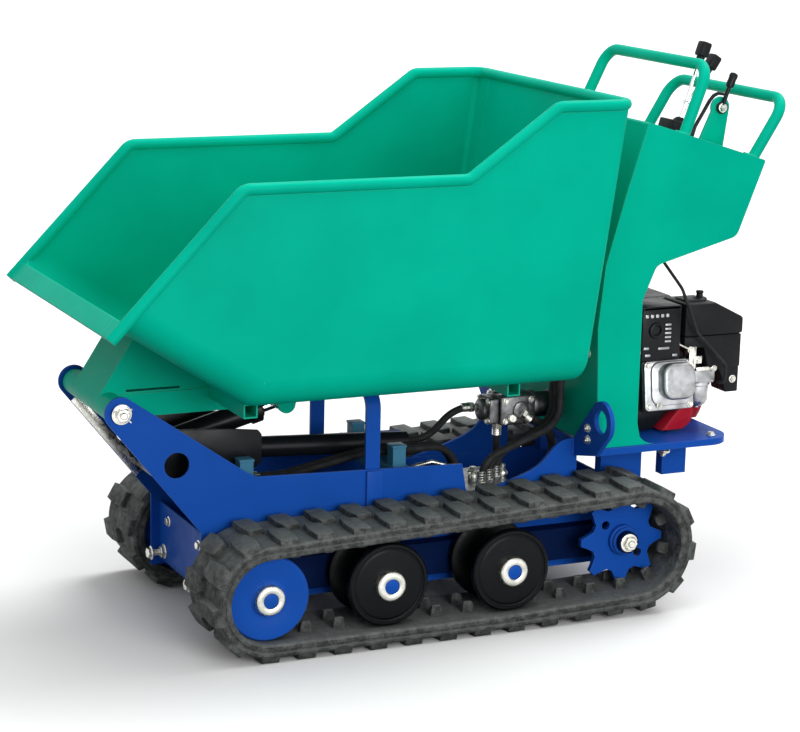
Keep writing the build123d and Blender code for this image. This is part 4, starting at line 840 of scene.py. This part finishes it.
@dataclass
class Chassis:
    """Small parts on the chassis plates and on the engine's platform."""

    plate_y: float = 163.0
    hinge: tuple[float, float] = (731.0, 500.0)
    hinge_end: float = 176.0

    def build(self) -> None:
        """Builds every small part."""
        self.hinge_ends()
        self.tension_bolts()
        self.bolts()
        self.stub_caps()
        self.welds()
        self.edge_strips()
        self.straps()
        self.shade_plates()

    def straps(self) -> None:
        """Adds the straps that hold the rest hoop's legs on the outside of the plates."""
        form = Form("hoop_straps")
        form.box_pair((151, self.plate_y, 206), (186, self.plate_y + 7, 331), 1.4)
        form.piece(CHASSIS_BLUE, Body.CHASSIS)

    def shade_plates(self) -> None:
        """Adds black plates beside the tipping cylinder's base that stand in for the shade inside the chassis."""
        form = Form("cylinder_shade_plates")
        outline = [(652, 400), (640, 424), (600, 438), (470, 430), (404, 422), (396, 412), (396, 352), (410, 340),
                   (560, 327), (630, 340)]
        # These black plates are painted shade, not a real part.
        form.plate_pair(outline, 84, 90, 1.2)
        form.piece(SATIN_BLACK, Body.CHASSIS)

    def edge_strips(self) -> None:
        """Lays a plated strip inside the front edge of each chassis plate."""
        form = Form("plate_edge_strips")
        outline = [(739.0, 457.0), (593.0, 277.0), (576.0, 291.0), (722.0, 471.0)]
        form.plate_pair(outline, self.plate_y - 10, self.plate_y - 5, 0.8)
        form.piece(ZINC, Body.CHASSIS)

    def hinge_ends(self) -> None:
        """Adds a castle nut and an open split pin on each end of the hinge pin."""
        form = Form("hinge_pin_ends")
        x, z = self.hinge
        for side in SIDES:
            axis = Way.LEFT.vector * side
            form.lathe([(9, -9), (21, -9), (21, -6.5), (9, -6.5)], (x, side * self.hinge_end, z), axis, 36)
            form.bolt((x, side * (self.hinge_end - 6), z), axis, 30.0, 6.0)
            for turn in (0.5, 2.5, 3.9):
                tip = Vector((math.cos(turn), 0, math.sin(turn)))
                start = Vector((x, side * (self.hinge_end + 4), z))
                form.tube([start, start + tip * 14, start + tip * 22 + axis * 2], 1.8, 8)
        form.piece(ZINC, Body.CHASSIS)

    def tension_bolts(self) -> None:
        """Adds the two long tension bolts with lock nuts in the front apron."""
        form = Form("tension_bolts")
        for side in SIDES:
            seat = (540.0, side * 122.0, 109.0)
            form.bolt(seat, Way.FORWARD.vector, 26.0)
            thread = [(7.0, 0.0)]
            for n in range(18):
                thread += [(7.0, 8 + n * 1.6), (6.1, 8.8 + n * 1.6)]
            thread += [(6.0, 38.0), (0.0, 38.0)]
            form.lathe(thread, seat, Way.FORWARD.vector, 18)
            form.bolt((570.0, *seat[1:]), Way.FORWARD.vector, 24.0)
        form.piece(ZINC, Body.CHASSIS)

    def bolts(self) -> None:
        """Adds the bolts of the eye plates, the deck and the plates' stop screws."""
        form = Form("chassis_bolts")
        buffer = [(4, -20), (15, -20), (16, -15), (12, -9), (16, -3), (15, 0), (4, 0)]
        for side in SIDES:
            form.bolt((-310.0, side * 236.0, 374.0), Way.FORWARD.vector, 17.0, 3.0)
            form.bolt((-310.0, side * 234.0, 400.0), Way.FORWARD.vector, 17.0, 3.0)
            form.bolt((538.5, side * 96.0, 184.0), Way.FORWARD.vector, 18.0)
            for x in (-350.0, -630.0):
                form.bolt((x, side * 225.0, 356.0), Way.UP.vector, 17.0)
            form.lathe(buffer, (-520.0, side * 205.0, 341.0), Way.UP.vector, 28)
            form.bolt((-520.0, side * 205.0, 321.0), Way.DOWN.vector, 16.0, 4.0)
        form.piece(ZINC, Body.CHASSIS)

    def stub_caps(self) -> None:
        """Adds flat caps on the four square stubs."""
        form = Form("stub_caps")
        for x in (443.0, 91.0):
            for side in SIDES:
                form.box((x - 17, side * 110 - 17, 364), (x + 17, side * 110 + 17, 369), 1.2)
        form.piece(STUB_TEAL, Body.CHASSIS)

    def welds(self) -> None:
        """Runs weld beads where the hoop, the eye plates and the bars meet the chassis."""
        form = Form("chassis_welds")
        for side in SIDES:
            inner = side * (self.plate_y - 6)
            for x in (151.0, 185.0):
                form.weld([Vector((x, inner, 262)), Vector((x, inner, 326))], 2.6)
            for x in (429.0, 457.0, 77.0, 105.0):
                form.weld([Vector((x, inner, 292)), Vector((x, inner, 322))], 2.4)
            outer = side * (self.plate_y + 8)
            form.weld([Vector((-309.5, outer, 325)), Vector((-309.5, outer, 360))], 2.8)
            form.weld([Vector((535, side * 157, 80)), Vector((535, side * 157, 212))], 2.8)
        form.piece(CHASSIS_BLUE, Body.CHASSIS)


@dataclass
class Skip:
    """Welds and wear parts of the tipping skip."""

    half_width: float = 352.0

    def build(self) -> None:
        """Builds the beads and the rest pads."""
        form = Form("skip_welds")
        down = Vector((0.6925, 0.0, -0.7214))
        lip = Vector((795.5, 0.0, 710.8))
        for side in SIDES:
            inner = lip + Vector((-6, side * (self.half_width - 14), -6))
            form.weld([inner - down * 17, inner + down * 20], 2.4)
            form.weld([Vector((x, side * 84, 528.5)) for x in (450.0, 480.0)], 2.4)
            for x in (-112.0, -82.0):
                form.weld([Vector((x, side * 280, 528.5)), Vector((x, side * 120, 528.5))], 2.2)
        form.piece(SKIP_GREEN, Body.SKIP)
        pads = Form("skip_rest_pads")
        pads.box_pair((-208, 236.0, 523.0), (-173, 262.0, 529.0), 1.2)
        pads.piece(ZINC, Body.SKIP)


@dataclass
class Cylinder:
    """Turned details of the tipping cylinder."""

    base: tuple[float, float] = (611.0, 381.0)
    rod_pin: tuple[float, float] = (320.0, 460.0)

    def build(self) -> None:
        """Builds the gland, a weld ring and the clips."""
        start = Vector((self.base[0], 0, self.base[1]))
        end = Vector((self.rod_pin[0], 0, self.rod_pin[1]))
        axis = (end - start).normalized()
        gland = Form("cylinder_gland")
        collar = [(13.5, 236), (26.8, 236), (27.6, 237), (27.6, 249), (26.4, 251), (22, 252), (20, 256), (13.5, 256)]
        gland.lathe(collar, start, axis, 48, ring=True)
        gland.lathe([(24, 34), (27, 35), (28, 38), (27, 41), (24, 42)], start, axis, 40)
        gland.piece(SATIN_BLACK, Body.BARREL)
        clips = Form("rod_pin_clips")
        for side in SIDES:
            spot = end + Way.LEFT.vector * (side * 27)
            clips.lathe([(10.1, -1.2), (13.5, -1.2), (13.5, 1.2), (10.1, 1.2)], spot, Way.LEFT.vector, 32, ring=True)
        clips.piece(ZINC, Body.ROD)


@dataclass
class Console:
    """Handles' collars, levers and the throttle on the console's top."""

    top_front: tuple[float, float] = (-421.0, 1066.5)
    slope: float = 0.3077
    knobs: tuple[Spot, ...] = ((-654.0, 76.0, 1202.0), (-698.0, 46.0, 1170.0))
    rod_feet: tuple[Spot, ...] = ((-600.0, 76.0, 1040.0), (-612.0, 46.0, 1036.0))
    pivot: tuple[float, float] = (-689.0, 1075.0)

    def build(self) -> None:
        """Builds everything on the console."""
        self.collars()
        self.levers()
        self.throttle()
        self.post_bolts()

    def top_z(self, x: float) -> float:
        """The top's height at a place along the machine."""
        return self.top_front[1] + self.slope * (x - self.top_front[0])

    def deck(self, x: float, y: float) -> Matrix:
        """A frame on the sloping top with Z square to it."""
        ahead = Vector((1.0, 0.0, self.slope)).normalized()
        return Matrix(((ahead.x, 0, -ahead.z, x), (0, 1, 0, y), (ahead.z, 0, ahead.x, self.top_z(x)), (0, 0, 0, 1)))

    def collars(self) -> None:
        """Runs a weld round each foot of the handles."""
        form = Form("handle_welds")
        for x, lean in ((-512.0, -0.42), (-687.0, -0.62)):
            for side in SIDES:
                place = self.deck(x, side * 234.0)
                ring = []
                for n in range(29):
                    turn = 2 * math.pi * n / 28
                    ring.append(place @ Vector((14.5 * math.cos(turn) + lean * 3, 13.2 * math.sin(turn), 0.8)))
                form.weld(ring, 2.4, 3.0)
        form.piece(SKIP_GREEN, Body.CHASSIS)

    def levers(self) -> None:
        """Builds the lever block, its gaiters, the plated rods and the knobs."""
        block = Form("control_levers_block")
        place = self.deck(-600.0, 60.0)
        block.prism([(-31, -32), (31, -32), (31, 32), (-31, 32)], place, 30.0, 3.0, 3)
        rods = Form("lever_rods")
        gaiter = [(4.2, -16), (15, -16), (13, -8), (14, -6), (10.5, 2), (11.5, 4), (7, 12), (4.4, 13)]
        grip = [(-14, -12), (14, -12), (14, 12), (-14, 12)]
        for foot, knob in zip(self.rod_feet, self.knobs):
            start, end = Vector(foot), Vector(knob)
            axis = (end - start).normalized()
            block.lathe(gaiter, start, axis, 28)
            block.prism(grip, standing(end, axis) @ Matrix.Translation((0, 0, -17)), 34.0, 5.0, 3)
            block.lathe([(4.2, -30), (8, -30), (9.5, -24), (9.5, -14), (4.2, -14)], end, axis, 20)
            rods.tube([start, start.lerp(end, 0.5), end - axis * 12], 4.0, 16)
            rods.bolt(start + axis * 46, axis, 15.0)
        block.piece(MOULDED_BLACK, Body.CHASSIS, "control_levers")
        rods.piece(CHROME, Body.CHASSIS)

    def throttle(self) -> None:
        """Builds the rounded green bracket, the bent black lever and its link."""
        x, z = self.pivot
        plate = Form("throttle_bracket")
        outline = [(-636.0, self.top_z(-636.0) - 1), (-700.0, self.top_z(-700.0) - 1)]
        turns = [math.radians(angle) for angle in range(200, -21, -20)]
        outline += [(x + 24 * math.cos(a), z + 24 * math.sin(a)) for a in turns]
        plate.side_plate(outline, 97.0, 103.0, 1.2)
        plate.lathe([(5, 2), (13, 2), (13, 6), (11, 7.5), (5, 7.5)], (x, 100.0, z), Way.LEFT.vector, 28)
        plate.piece(SKIP_GREEN, Body.CHASSIS, "throttle_lever")
        lever = Form("throttle_arm")
        bends = ((0, 111, 0), (4, 112, 16), (10, 112, 34), (17, 111, 50), (25, 110, 68))
        path = [Vector((x - back, y, z + up)) for back, y, up in bends]
        lever.tube(path, 5.0, 14)
        tip = path[-1] - path[-2]
        lever.lathe([(5, -26), (8, -25), (9.5, -18), (9, -6), (10, 2), (8.5, 7), (4, 9)], path[-1], tip, 24)
        link = [(-609, 1017), (-622, 1040), (-640, 1069), (-654, 1092), (-664, 1103), (-676, 1108), (x - 8, 1103),
                (x, z)]
        lever.tube([Vector((px, 113, pz)) for px, pz in link], 4.2, 12)
        lever.lathe([(6, -2), (14, -2), (14, 2), (6, 2)], (x, 110.0, z), Way.LEFT.vector, 24)
        lever.piece(SATIN_BLACK, Body.CHASSIS)
        bolt = Form("throttle_bolt")
        bolt.bolt((x, 113.0, z), Way.LEFT.vector, 17.0, 3.0)
        bolt.piece(ZINC, Body.CHASSIS)

    def post_bolts(self) -> None:
        """Adds the bolts on the post's front and the cable's grommet."""
        bolts = Form("post_bolts")
        for side in SIDES:
            bolts.bolt((-318.4, side * 206.0, 562.0), Way.FORWARD.vector, 18.0, 4.0)
        bolts.piece(ZINC, Body.CHASSIS)
        grommet = Form("cable_grommet")
        sleeve = [(3.7, -3), (8, -3), (9, 0), (9, 4), (6, 12), (3.7, 13)]
        grommet.lathe(sleeve, (-512.0, 210.0, 771.0), Way.DOWN.vector, 24, ring=True)
        grommet.piece(MOULDED_BLACK, Body.CHASSIS)


def rounded(width: float, height: float, corner: float, middle: tuple[float, float] = (0.0, 0.0)) -> Outline:
    """A rectangle with round corners.

    Args:
        width: Its size along the first axis.
        height: Its size along the second axis.
        corner: Its corners' radius.
        middle: Its middle.

    Returns:
        Its outline.
    """
    outline = []
    for n in range(4):
        x = middle[0] + (width / 2 - corner) * (1 if n in (0, 3) else -1)
        y = middle[1] + (height / 2 - corner) * (1 if n in (0, 1) else -1)
        for k in range(6):
            turn = math.pi / 2 * (n + k / 5)
            outline.append((x + corner * math.cos(turn), y + corner * math.sin(turn)))
    return outline


@dataclass
class Engine:
    """The small petrol engine, from the head's cover to the air cleaner."""

    crank: Spot = (-540.0, -20.0, 440.0)
    tilt: float = 8.0
    outlet: Spot = (-496.0, 191.0, 597.0)

    def build(self) -> None:
        """Builds all of the engine's dressed parts."""
        self.head()
        self.muffler()
        self.air_cleaner()
        self.carburettor()
        self.shroud()
        self.starter()

    def head_frame(self) -> Matrix:
        """The cylinder's frame: X forward, Y up, Z out to the head."""
        tilt = math.radians(self.tilt)
        x, y, z = self.crank
        return Matrix(((1, 0, 0, x), (0, -math.sin(tilt), math.cos(tilt), y), (0, math.cos(tilt), math.sin(tilt), z),
                       (0, 0, 0, 1)))

    def head(self) -> None:
        """Builds the finned barrel, the rocker cover and its bolts."""
        place = self.head_frame()
        fins = Form("engine_cylinder_fins")
        for n in range(9):
            fins.prism(rounded(122, 122, 14), place @ Matrix.Translation((0, 0, 98 + n * 11)), 4.0, 0.8)
        fins.prism(rounded(92, 92, 20), place @ Matrix.Translation((0, 0, 88)), 106.0, 1.0)
        fins.piece(SATIN_BLACK, Body.CHASSIS, "engine_cylinder")
        cover = Form("rocker_cover_cast")
        cover.prism(rounded(124, 112, 9), place @ Matrix.Translation((0, 0, 194)), 13.0, 2.0)
        cover.prism(rounded(104, 98, 22, (-5, 4)), place @ Matrix.Translation((0, 0, 205)), 8.0, 2.5)
        cover.prism(rounded(84, 82, 26, (-12, 9)), place @ Matrix.Translation((0, 0, 210)), 28.0, 9.0, 5)
        cover.piece(CAST_ALLOY, Body.CHASSIS, "rocker_cover")
        bolts = Form("rocker_bolts")
        out = place.to_3x3() @ Vector((0, 0, 1))
        for u in (-53, 53):
            for v in (-47, 47):
                bolts.bolt(place @ Vector((u, v, 207)), out, 12.0)
        bolts.bolt(place @ Vector((30, -44, 213)), out, 11.0, 4.0)
        bolts.piece(ZINC, Body.CHASSIS)

    def muffler(self) -> None:
        """Builds the muffler, its pierced shield, the outlet's rim and a black disc in the outlet as painted shade."""
        box = Form("muffler_box")
        box.box((-557, 92, 546), (-468, 184, 646), 9.0, 3)
        box.box((-560, 186, 528), (-462, 191, 650), 2.0)
        box.box((-560, 96, 640), (-462, 191, 650), 3.0)
        rim = [(11, -4), (18, -4), (18.5, 2), (17, 5), (13, 6), (11, 4)]
        box.lathe(rim, self.outlet, Way.LEFT.vector, 32, ring=True)
        box.piece(SATIN_BLACK, Body.CHASSIS, "muffler")
        lights = Form("muffler_louvres")
        for n in range(5):
            lights.box((-476 - n * 13, 189, 625), (-468 - n * 13, 193, 633), 1.4)
            lights.box((-535, 189, 568 + n * 9.4), (-519, 193, 573 + n * 9.4), 1.4)
        for left, right, level in ((-480, -466, 557), (-532, -503, 555), (-484, -470, 541), (-553, -540, 538)):
            lights.box((left, 189, level - 3), (right, 193, level + 3), 1.4)
        lights.piece(CAST_ALLOY, Body.CHASSIS)
        # A black disc closes the outlet: painted shade for the pipe's dark inside.
        outlet_shade = Form("muffler_outlet_shade")
        outlet_shade.lathe([(0, 0.2), (11, 0.2), (11.4, 1.2), (9, 1.6), (0, 1.4)], self.outlet, Way.LEFT.vector, 28)
        outlet_shade.piece(SATIN_BLACK, Body.CHASSIS)

    def air_cleaner(self) -> None:
        """Builds the air cleaner's case, its lid with the seam, the tail and the knob."""
        case = Form("air_cleaner_case")
        tray = [(-576, 548), (-576, 574), (-724, 574), (-724, 498), (-640, 498), (-628, 548)]
        case.side_plate(tray, 88.0, 184.0, 3.0)
        case.side_plate([(-574, 575), (-574, 649), (-652, 649), (-726, 612), (-726, 575)], 85.0, 187.0, 5.0)
        case.side_plate([(-722, 505), (-722, 440), (-688, 440), (-680, 472), (-664, 505)], 124.0, 183.0, 3.0)
        case.box((-640, 112, 646), (-588, 164, 653), 3.0)
        knob = [(0, 0), (16, 0), (17, 3), (15, 6), (8, 8), (7, 15), (9, 17), (8, 21), (0, 22)]
        case.lathe(knob, (-636.0, 140.0, 648.0), Way.UP.vector, 28)
        case.piece(MOULDED_BLACK, Body.CHASSIS, "air_cleaner")
        bolt = Form("air_cleaner_bolt")
        bolt.bolt((-706.0, 183.0, 470.0), Way.LEFT.vector, 14.0, 3.0)
        bolt.piece(ZINC, Body.CHASSIS)

    def carburettor(self) -> None:
        """Builds the carburettor's bowl and body, its levers and the linkage."""
        body = Form("carburettor_cast")
        bowl = [(0, 0), (12, 0), (20, 5), (25, 15), (25.5, 48), (29, 50), (29, 58), (10, 58)]
        body.lathe(bowl, (-634.0, 150.0, 408.0), Way.UP.vector, 40)
        body.box((-664, 122, 464), (-604, 180, 498), 6.0, 3)
        body.bolt((-634.0, 150.0, 408.0), Way.DOWN.vector, 14.0)
        body.piece(CAST_ALLOY, Body.CHASSIS, "carburettor")
        links = Form("carburettor_links")
        links.box((-608, 181, 500), (-590, 184, 552), 1.2)
        links.box((-664, 181, 494), (-610, 184, 503), 1.2)
        links.box((-622, 181, 512), (-600, 187, 530), 2.0)
        links.bolt((-592.0, 184.0, 545.0), Way.LEFT.vector, 12.0, 3.0)
        links.bolt((-612.0, 187.0, 521.0), Way.LEFT.vector, 12.0, 3.0)
        links.bolt((-656.0, 184.0, 498.0), Way.LEFT.vector, 11.0)
        wire = ((-592, 186, 545), (-560, 188, 560), (-548, 188, 600), (-552, 186, 626))
        links.tube([Vector(spot) for spot in wire], 2.2, 10)
        links.piece(ZINC, Body.CHASSIS)

    def shroud(self) -> None:
        """Builds the red air shroud under the head and the black shield before it."""
        red = Form("fan_shroud")
        red.side_plate([(-528, 361), (-585, 361), (-606, 376), (-612, 402), (-603, 424), (-575, 414)], 60.0, 180.0, 6.0)
        red.piece(FAN_RED, Body.CHASSIS)
        shield = Form("crankcase_shield")
        outline = [(-430, 400), (-440, 362), (-516, 362), (-570, 412), (-560, 420), (-440, 424)]
        shield.side_plate(outline, 100.0, 160.0, 4.0)
        shield.piece(SATIN_BLACK, Body.CHASSIS)

    def starter(self) -> None:
        """Adds the starter's vent slats, its pull handle and the tank's cap."""
        vents = Form("starter_vents")
        slat = [(-0.4, 34), (2.2, 34), (2.2, 74), (-0.4, 74)]
        cap = [(0, 0), (31, 0), (33, 3), (33, 12), (30, 16), (24, 18), (0, 18)]
        for n in range(14):
            turn = 2 * math.pi * n / 14
            spot = Matrix.Translation((-714.5, -20, 440)) @ Matrix.Rotation(turn, 4, "X")
            vents.prism(slat, spot @ Matrix.Translation((-1.6, 0, -4)), 8.0, 0.8)
        vents.lathe([(0, 0), (20, 0), (22, 3), (20, 7), (0, 8)], (-713.0, -20.0, 440.0), Way.BACK.vector, 36)
        vents.box((-726, 52, 480), (-704, 92, 496), 4.0, 3)
        vents.lathe(cap, (-570.0, -60.0, 638.0), Way.UP.vector, 40)
        vents.piece(MOULDED_BLACK, Body.CHASSIS)


@dataclass
class Hydraulics:
    """The pump, the valve's fittings and the hoses' ends."""

    valve_top: float = 262.0
    post_feet: tuple[float, ...] = (-150.0, -123.0, -96.0)
    post_rows: tuple[float, ...] = (112.0, 130.0, 148.0)

    def build(self) -> None:
        """Builds the pump and the fittings."""
        self.pump()
        self.fittings()
        self.return_hose()

    def pump(self) -> None:
        """Builds the pump's cast sections, their bolts and the dark coupling."""
        cast = Form("hydraulic_pump_cast")
        cast.box((-252, 31, 384), (-166, 98, 450), 5.0, 3)
        cast.box((-164, 34, 388), (-140, 94, 446), 4.0, 3)
        nose = [(0, 0), (22, 0), (24, 3), (24, 10), (20, 13), (0, 13)]
        cast.lathe(nose, (-140.0, 64.0, 418.0), Way.FORWARD.vector, 32)
        cast.lathe([(10, -2), (19, -2), (19, 6), (15, 8), (10, 8)], (-214.0, 97.0, 418.0), Way.LEFT.vector, 28)
        cast.lathe([(8, -2), (16, -2), (16, 5), (12, 7), (8, 7)], (-176.0, 64.0, 449.0), Way.UP.vector, 28)
        cast.piece(PUMP_ALLOY, Body.CHASSIS, "hydraulic_pump")
        dark = Form("pump_coupling")
        bell = [(10, 0), (32, 0), (33, 2), (33, 10), (29, 12), (28, 50), (31, 52), (31, 68), (10, 68)]
        dark.lathe(bell, (-250.0, 64.0, 419.0), Way.BACK.vector, 44)
        dark.piece(DARK_STEEL, Body.CHASSIS)
        bolts = Form("pump_bolts")
        for y in (42.0, 86.0):
            for z in (396.0, 438.0):
                bolts.bolt((-140.0, y, z), Way.FORWARD.vector, 13.0)
        for x in (-240.0, -178.0):
            bolts.bolt((x, 98.0, 394.0), Way.LEFT.vector, 11.0)
            bolts.bolt((x, 98.0, 440.0), Way.LEFT.vector, 11.0)
        bolts.fitting((-214.0, 104.0, 412.0), Vector((-0.75, 0.25, -0.6)).normalized(), 8.5, 26.0)
        bolts.fitting((-190.0, 97.0, 402.0), Way.LEFT.vector, 7.0, 16.0)
        bolts.piece(ZINC, Body.CHASSIS)

    def fittings(self) -> None:
        """Adds swaged ends where hoses meet the valve, and the valve's caps and bolts."""
        form = Form("hose_fittings")
        spool_cap = [(0, 0), (11, 0), (12, 2), (12, 16), (10, 19), (6, 20), (6, 34), (0, 34)]
        for x, y in zip(self.post_feet, self.post_rows):
            form.fitting((x, y, self.valve_top), Way.UP.vector, 8.0, 40.0)
        for y in (42.0, 64.0):
            form.fitting((-76.0, y, self.valve_top), Way.UP.vector, 8.0, 36.0)
            form.fitting((420.6, y, 307.0), Way.BACK.vector, 8.0, 34.0)
        form.fitting((-174.0, 64.0, self.valve_top), Way.UP.vector, 8.0, 34.0)
        form.fitting((-174.0, 64.0, 386.0), Way.DOWN.vector, 8.0, 30.0)
        form.fitting((-126.0, 40.0, 419.0), Way.FORWARD.vector, 8.0, 30.0)
        for n in range(4):
            form.bolt((-72.0 - n * 35, 6.0, self.valve_top), Way.UP.vector, 15.0, 4.0)
            form.lathe(spool_cap, (-70.0 - n * 36, 90.0, self.valve_top), Way.UP.vector, 24)
        for y, rise in ((104.0, 26.0), (86.0, 40.0)):
            bends = ((-62, y, 288), (-40, y - 3, 292 + rise * 0.3), (-10, y - 10, 292 + rise * 0.5),
                     (30, y - 24, 284 + rise * 0.4), (70, y - 40, 270))
            form.tube([Vector(spot) for spot in bends], 5.0, 12)
        form.piece(ZINC, Body.CHASSIS)

    def return_hose(self) -> None:
        """Runs the thick return hose from the pump's near side down to the valve."""
        hose = Form("return_hose")
        marks = [(-226, 106, 404), (-250, 101, 392), (-276, 96, 374), (-296, 93, 346), (-300, 92, 316), (-288, 92, 290),
                 (-262, 92, 270), (-228, 92, 252), (-190, 92, 240)]
        path = []
        for n in range(len(marks) - 1):
            before = Vector(marks[max(n - 1, 0)])
            start, end = Vector(marks[n]), Vector(marks[n + 1])
            after = Vector(marks[min(n + 2, len(marks) - 1)])
            for k in range(6):
                t = k / 6
                path.append(0.5 * (2 * start + (end - before) * t + (2 * before - 5 * start + 4 * end - after) * t * t
                                   + (3 * start - before - 3 * end + after) * t ** 3))
        path.append(Vector(marks[-1]))
        hose.tube(path, 9.5, 18)
        hose.piece(HOSE_RUBBER, Body.CHASSIS)


def dress_nodes() -> None:
    """Gives every shown node the finish of its material slot, and the track frames a darker blue as painted shade."""
    by_slot = {finish.slot: finish for finish in FINISHES}
    for part in frame["record"]["subparts"]:
        node = frame["nodes"][part["node"]]
        node.data.materials.clear()
        shaded = part["node"].startswith("track_frame")
        finish = SHADED_FRAME_BLUE if shaded else by_slot[part["material_slot"]]
        node.data.materials.append(finish.material())


def main() -> None:
    """Builds the studio and every sub-assembly."""
    logging.basicConfig(level=logging.INFO, format="%(message)s")
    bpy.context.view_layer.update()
    dress_nodes()
    Studio().build()
    for assembly in (Undercarriage(), Chassis(), Skip(), Cylinder(), Console(), Engine(), Hydraulics()):
        assembly.build()


if __name__ == "__main__":
    main()
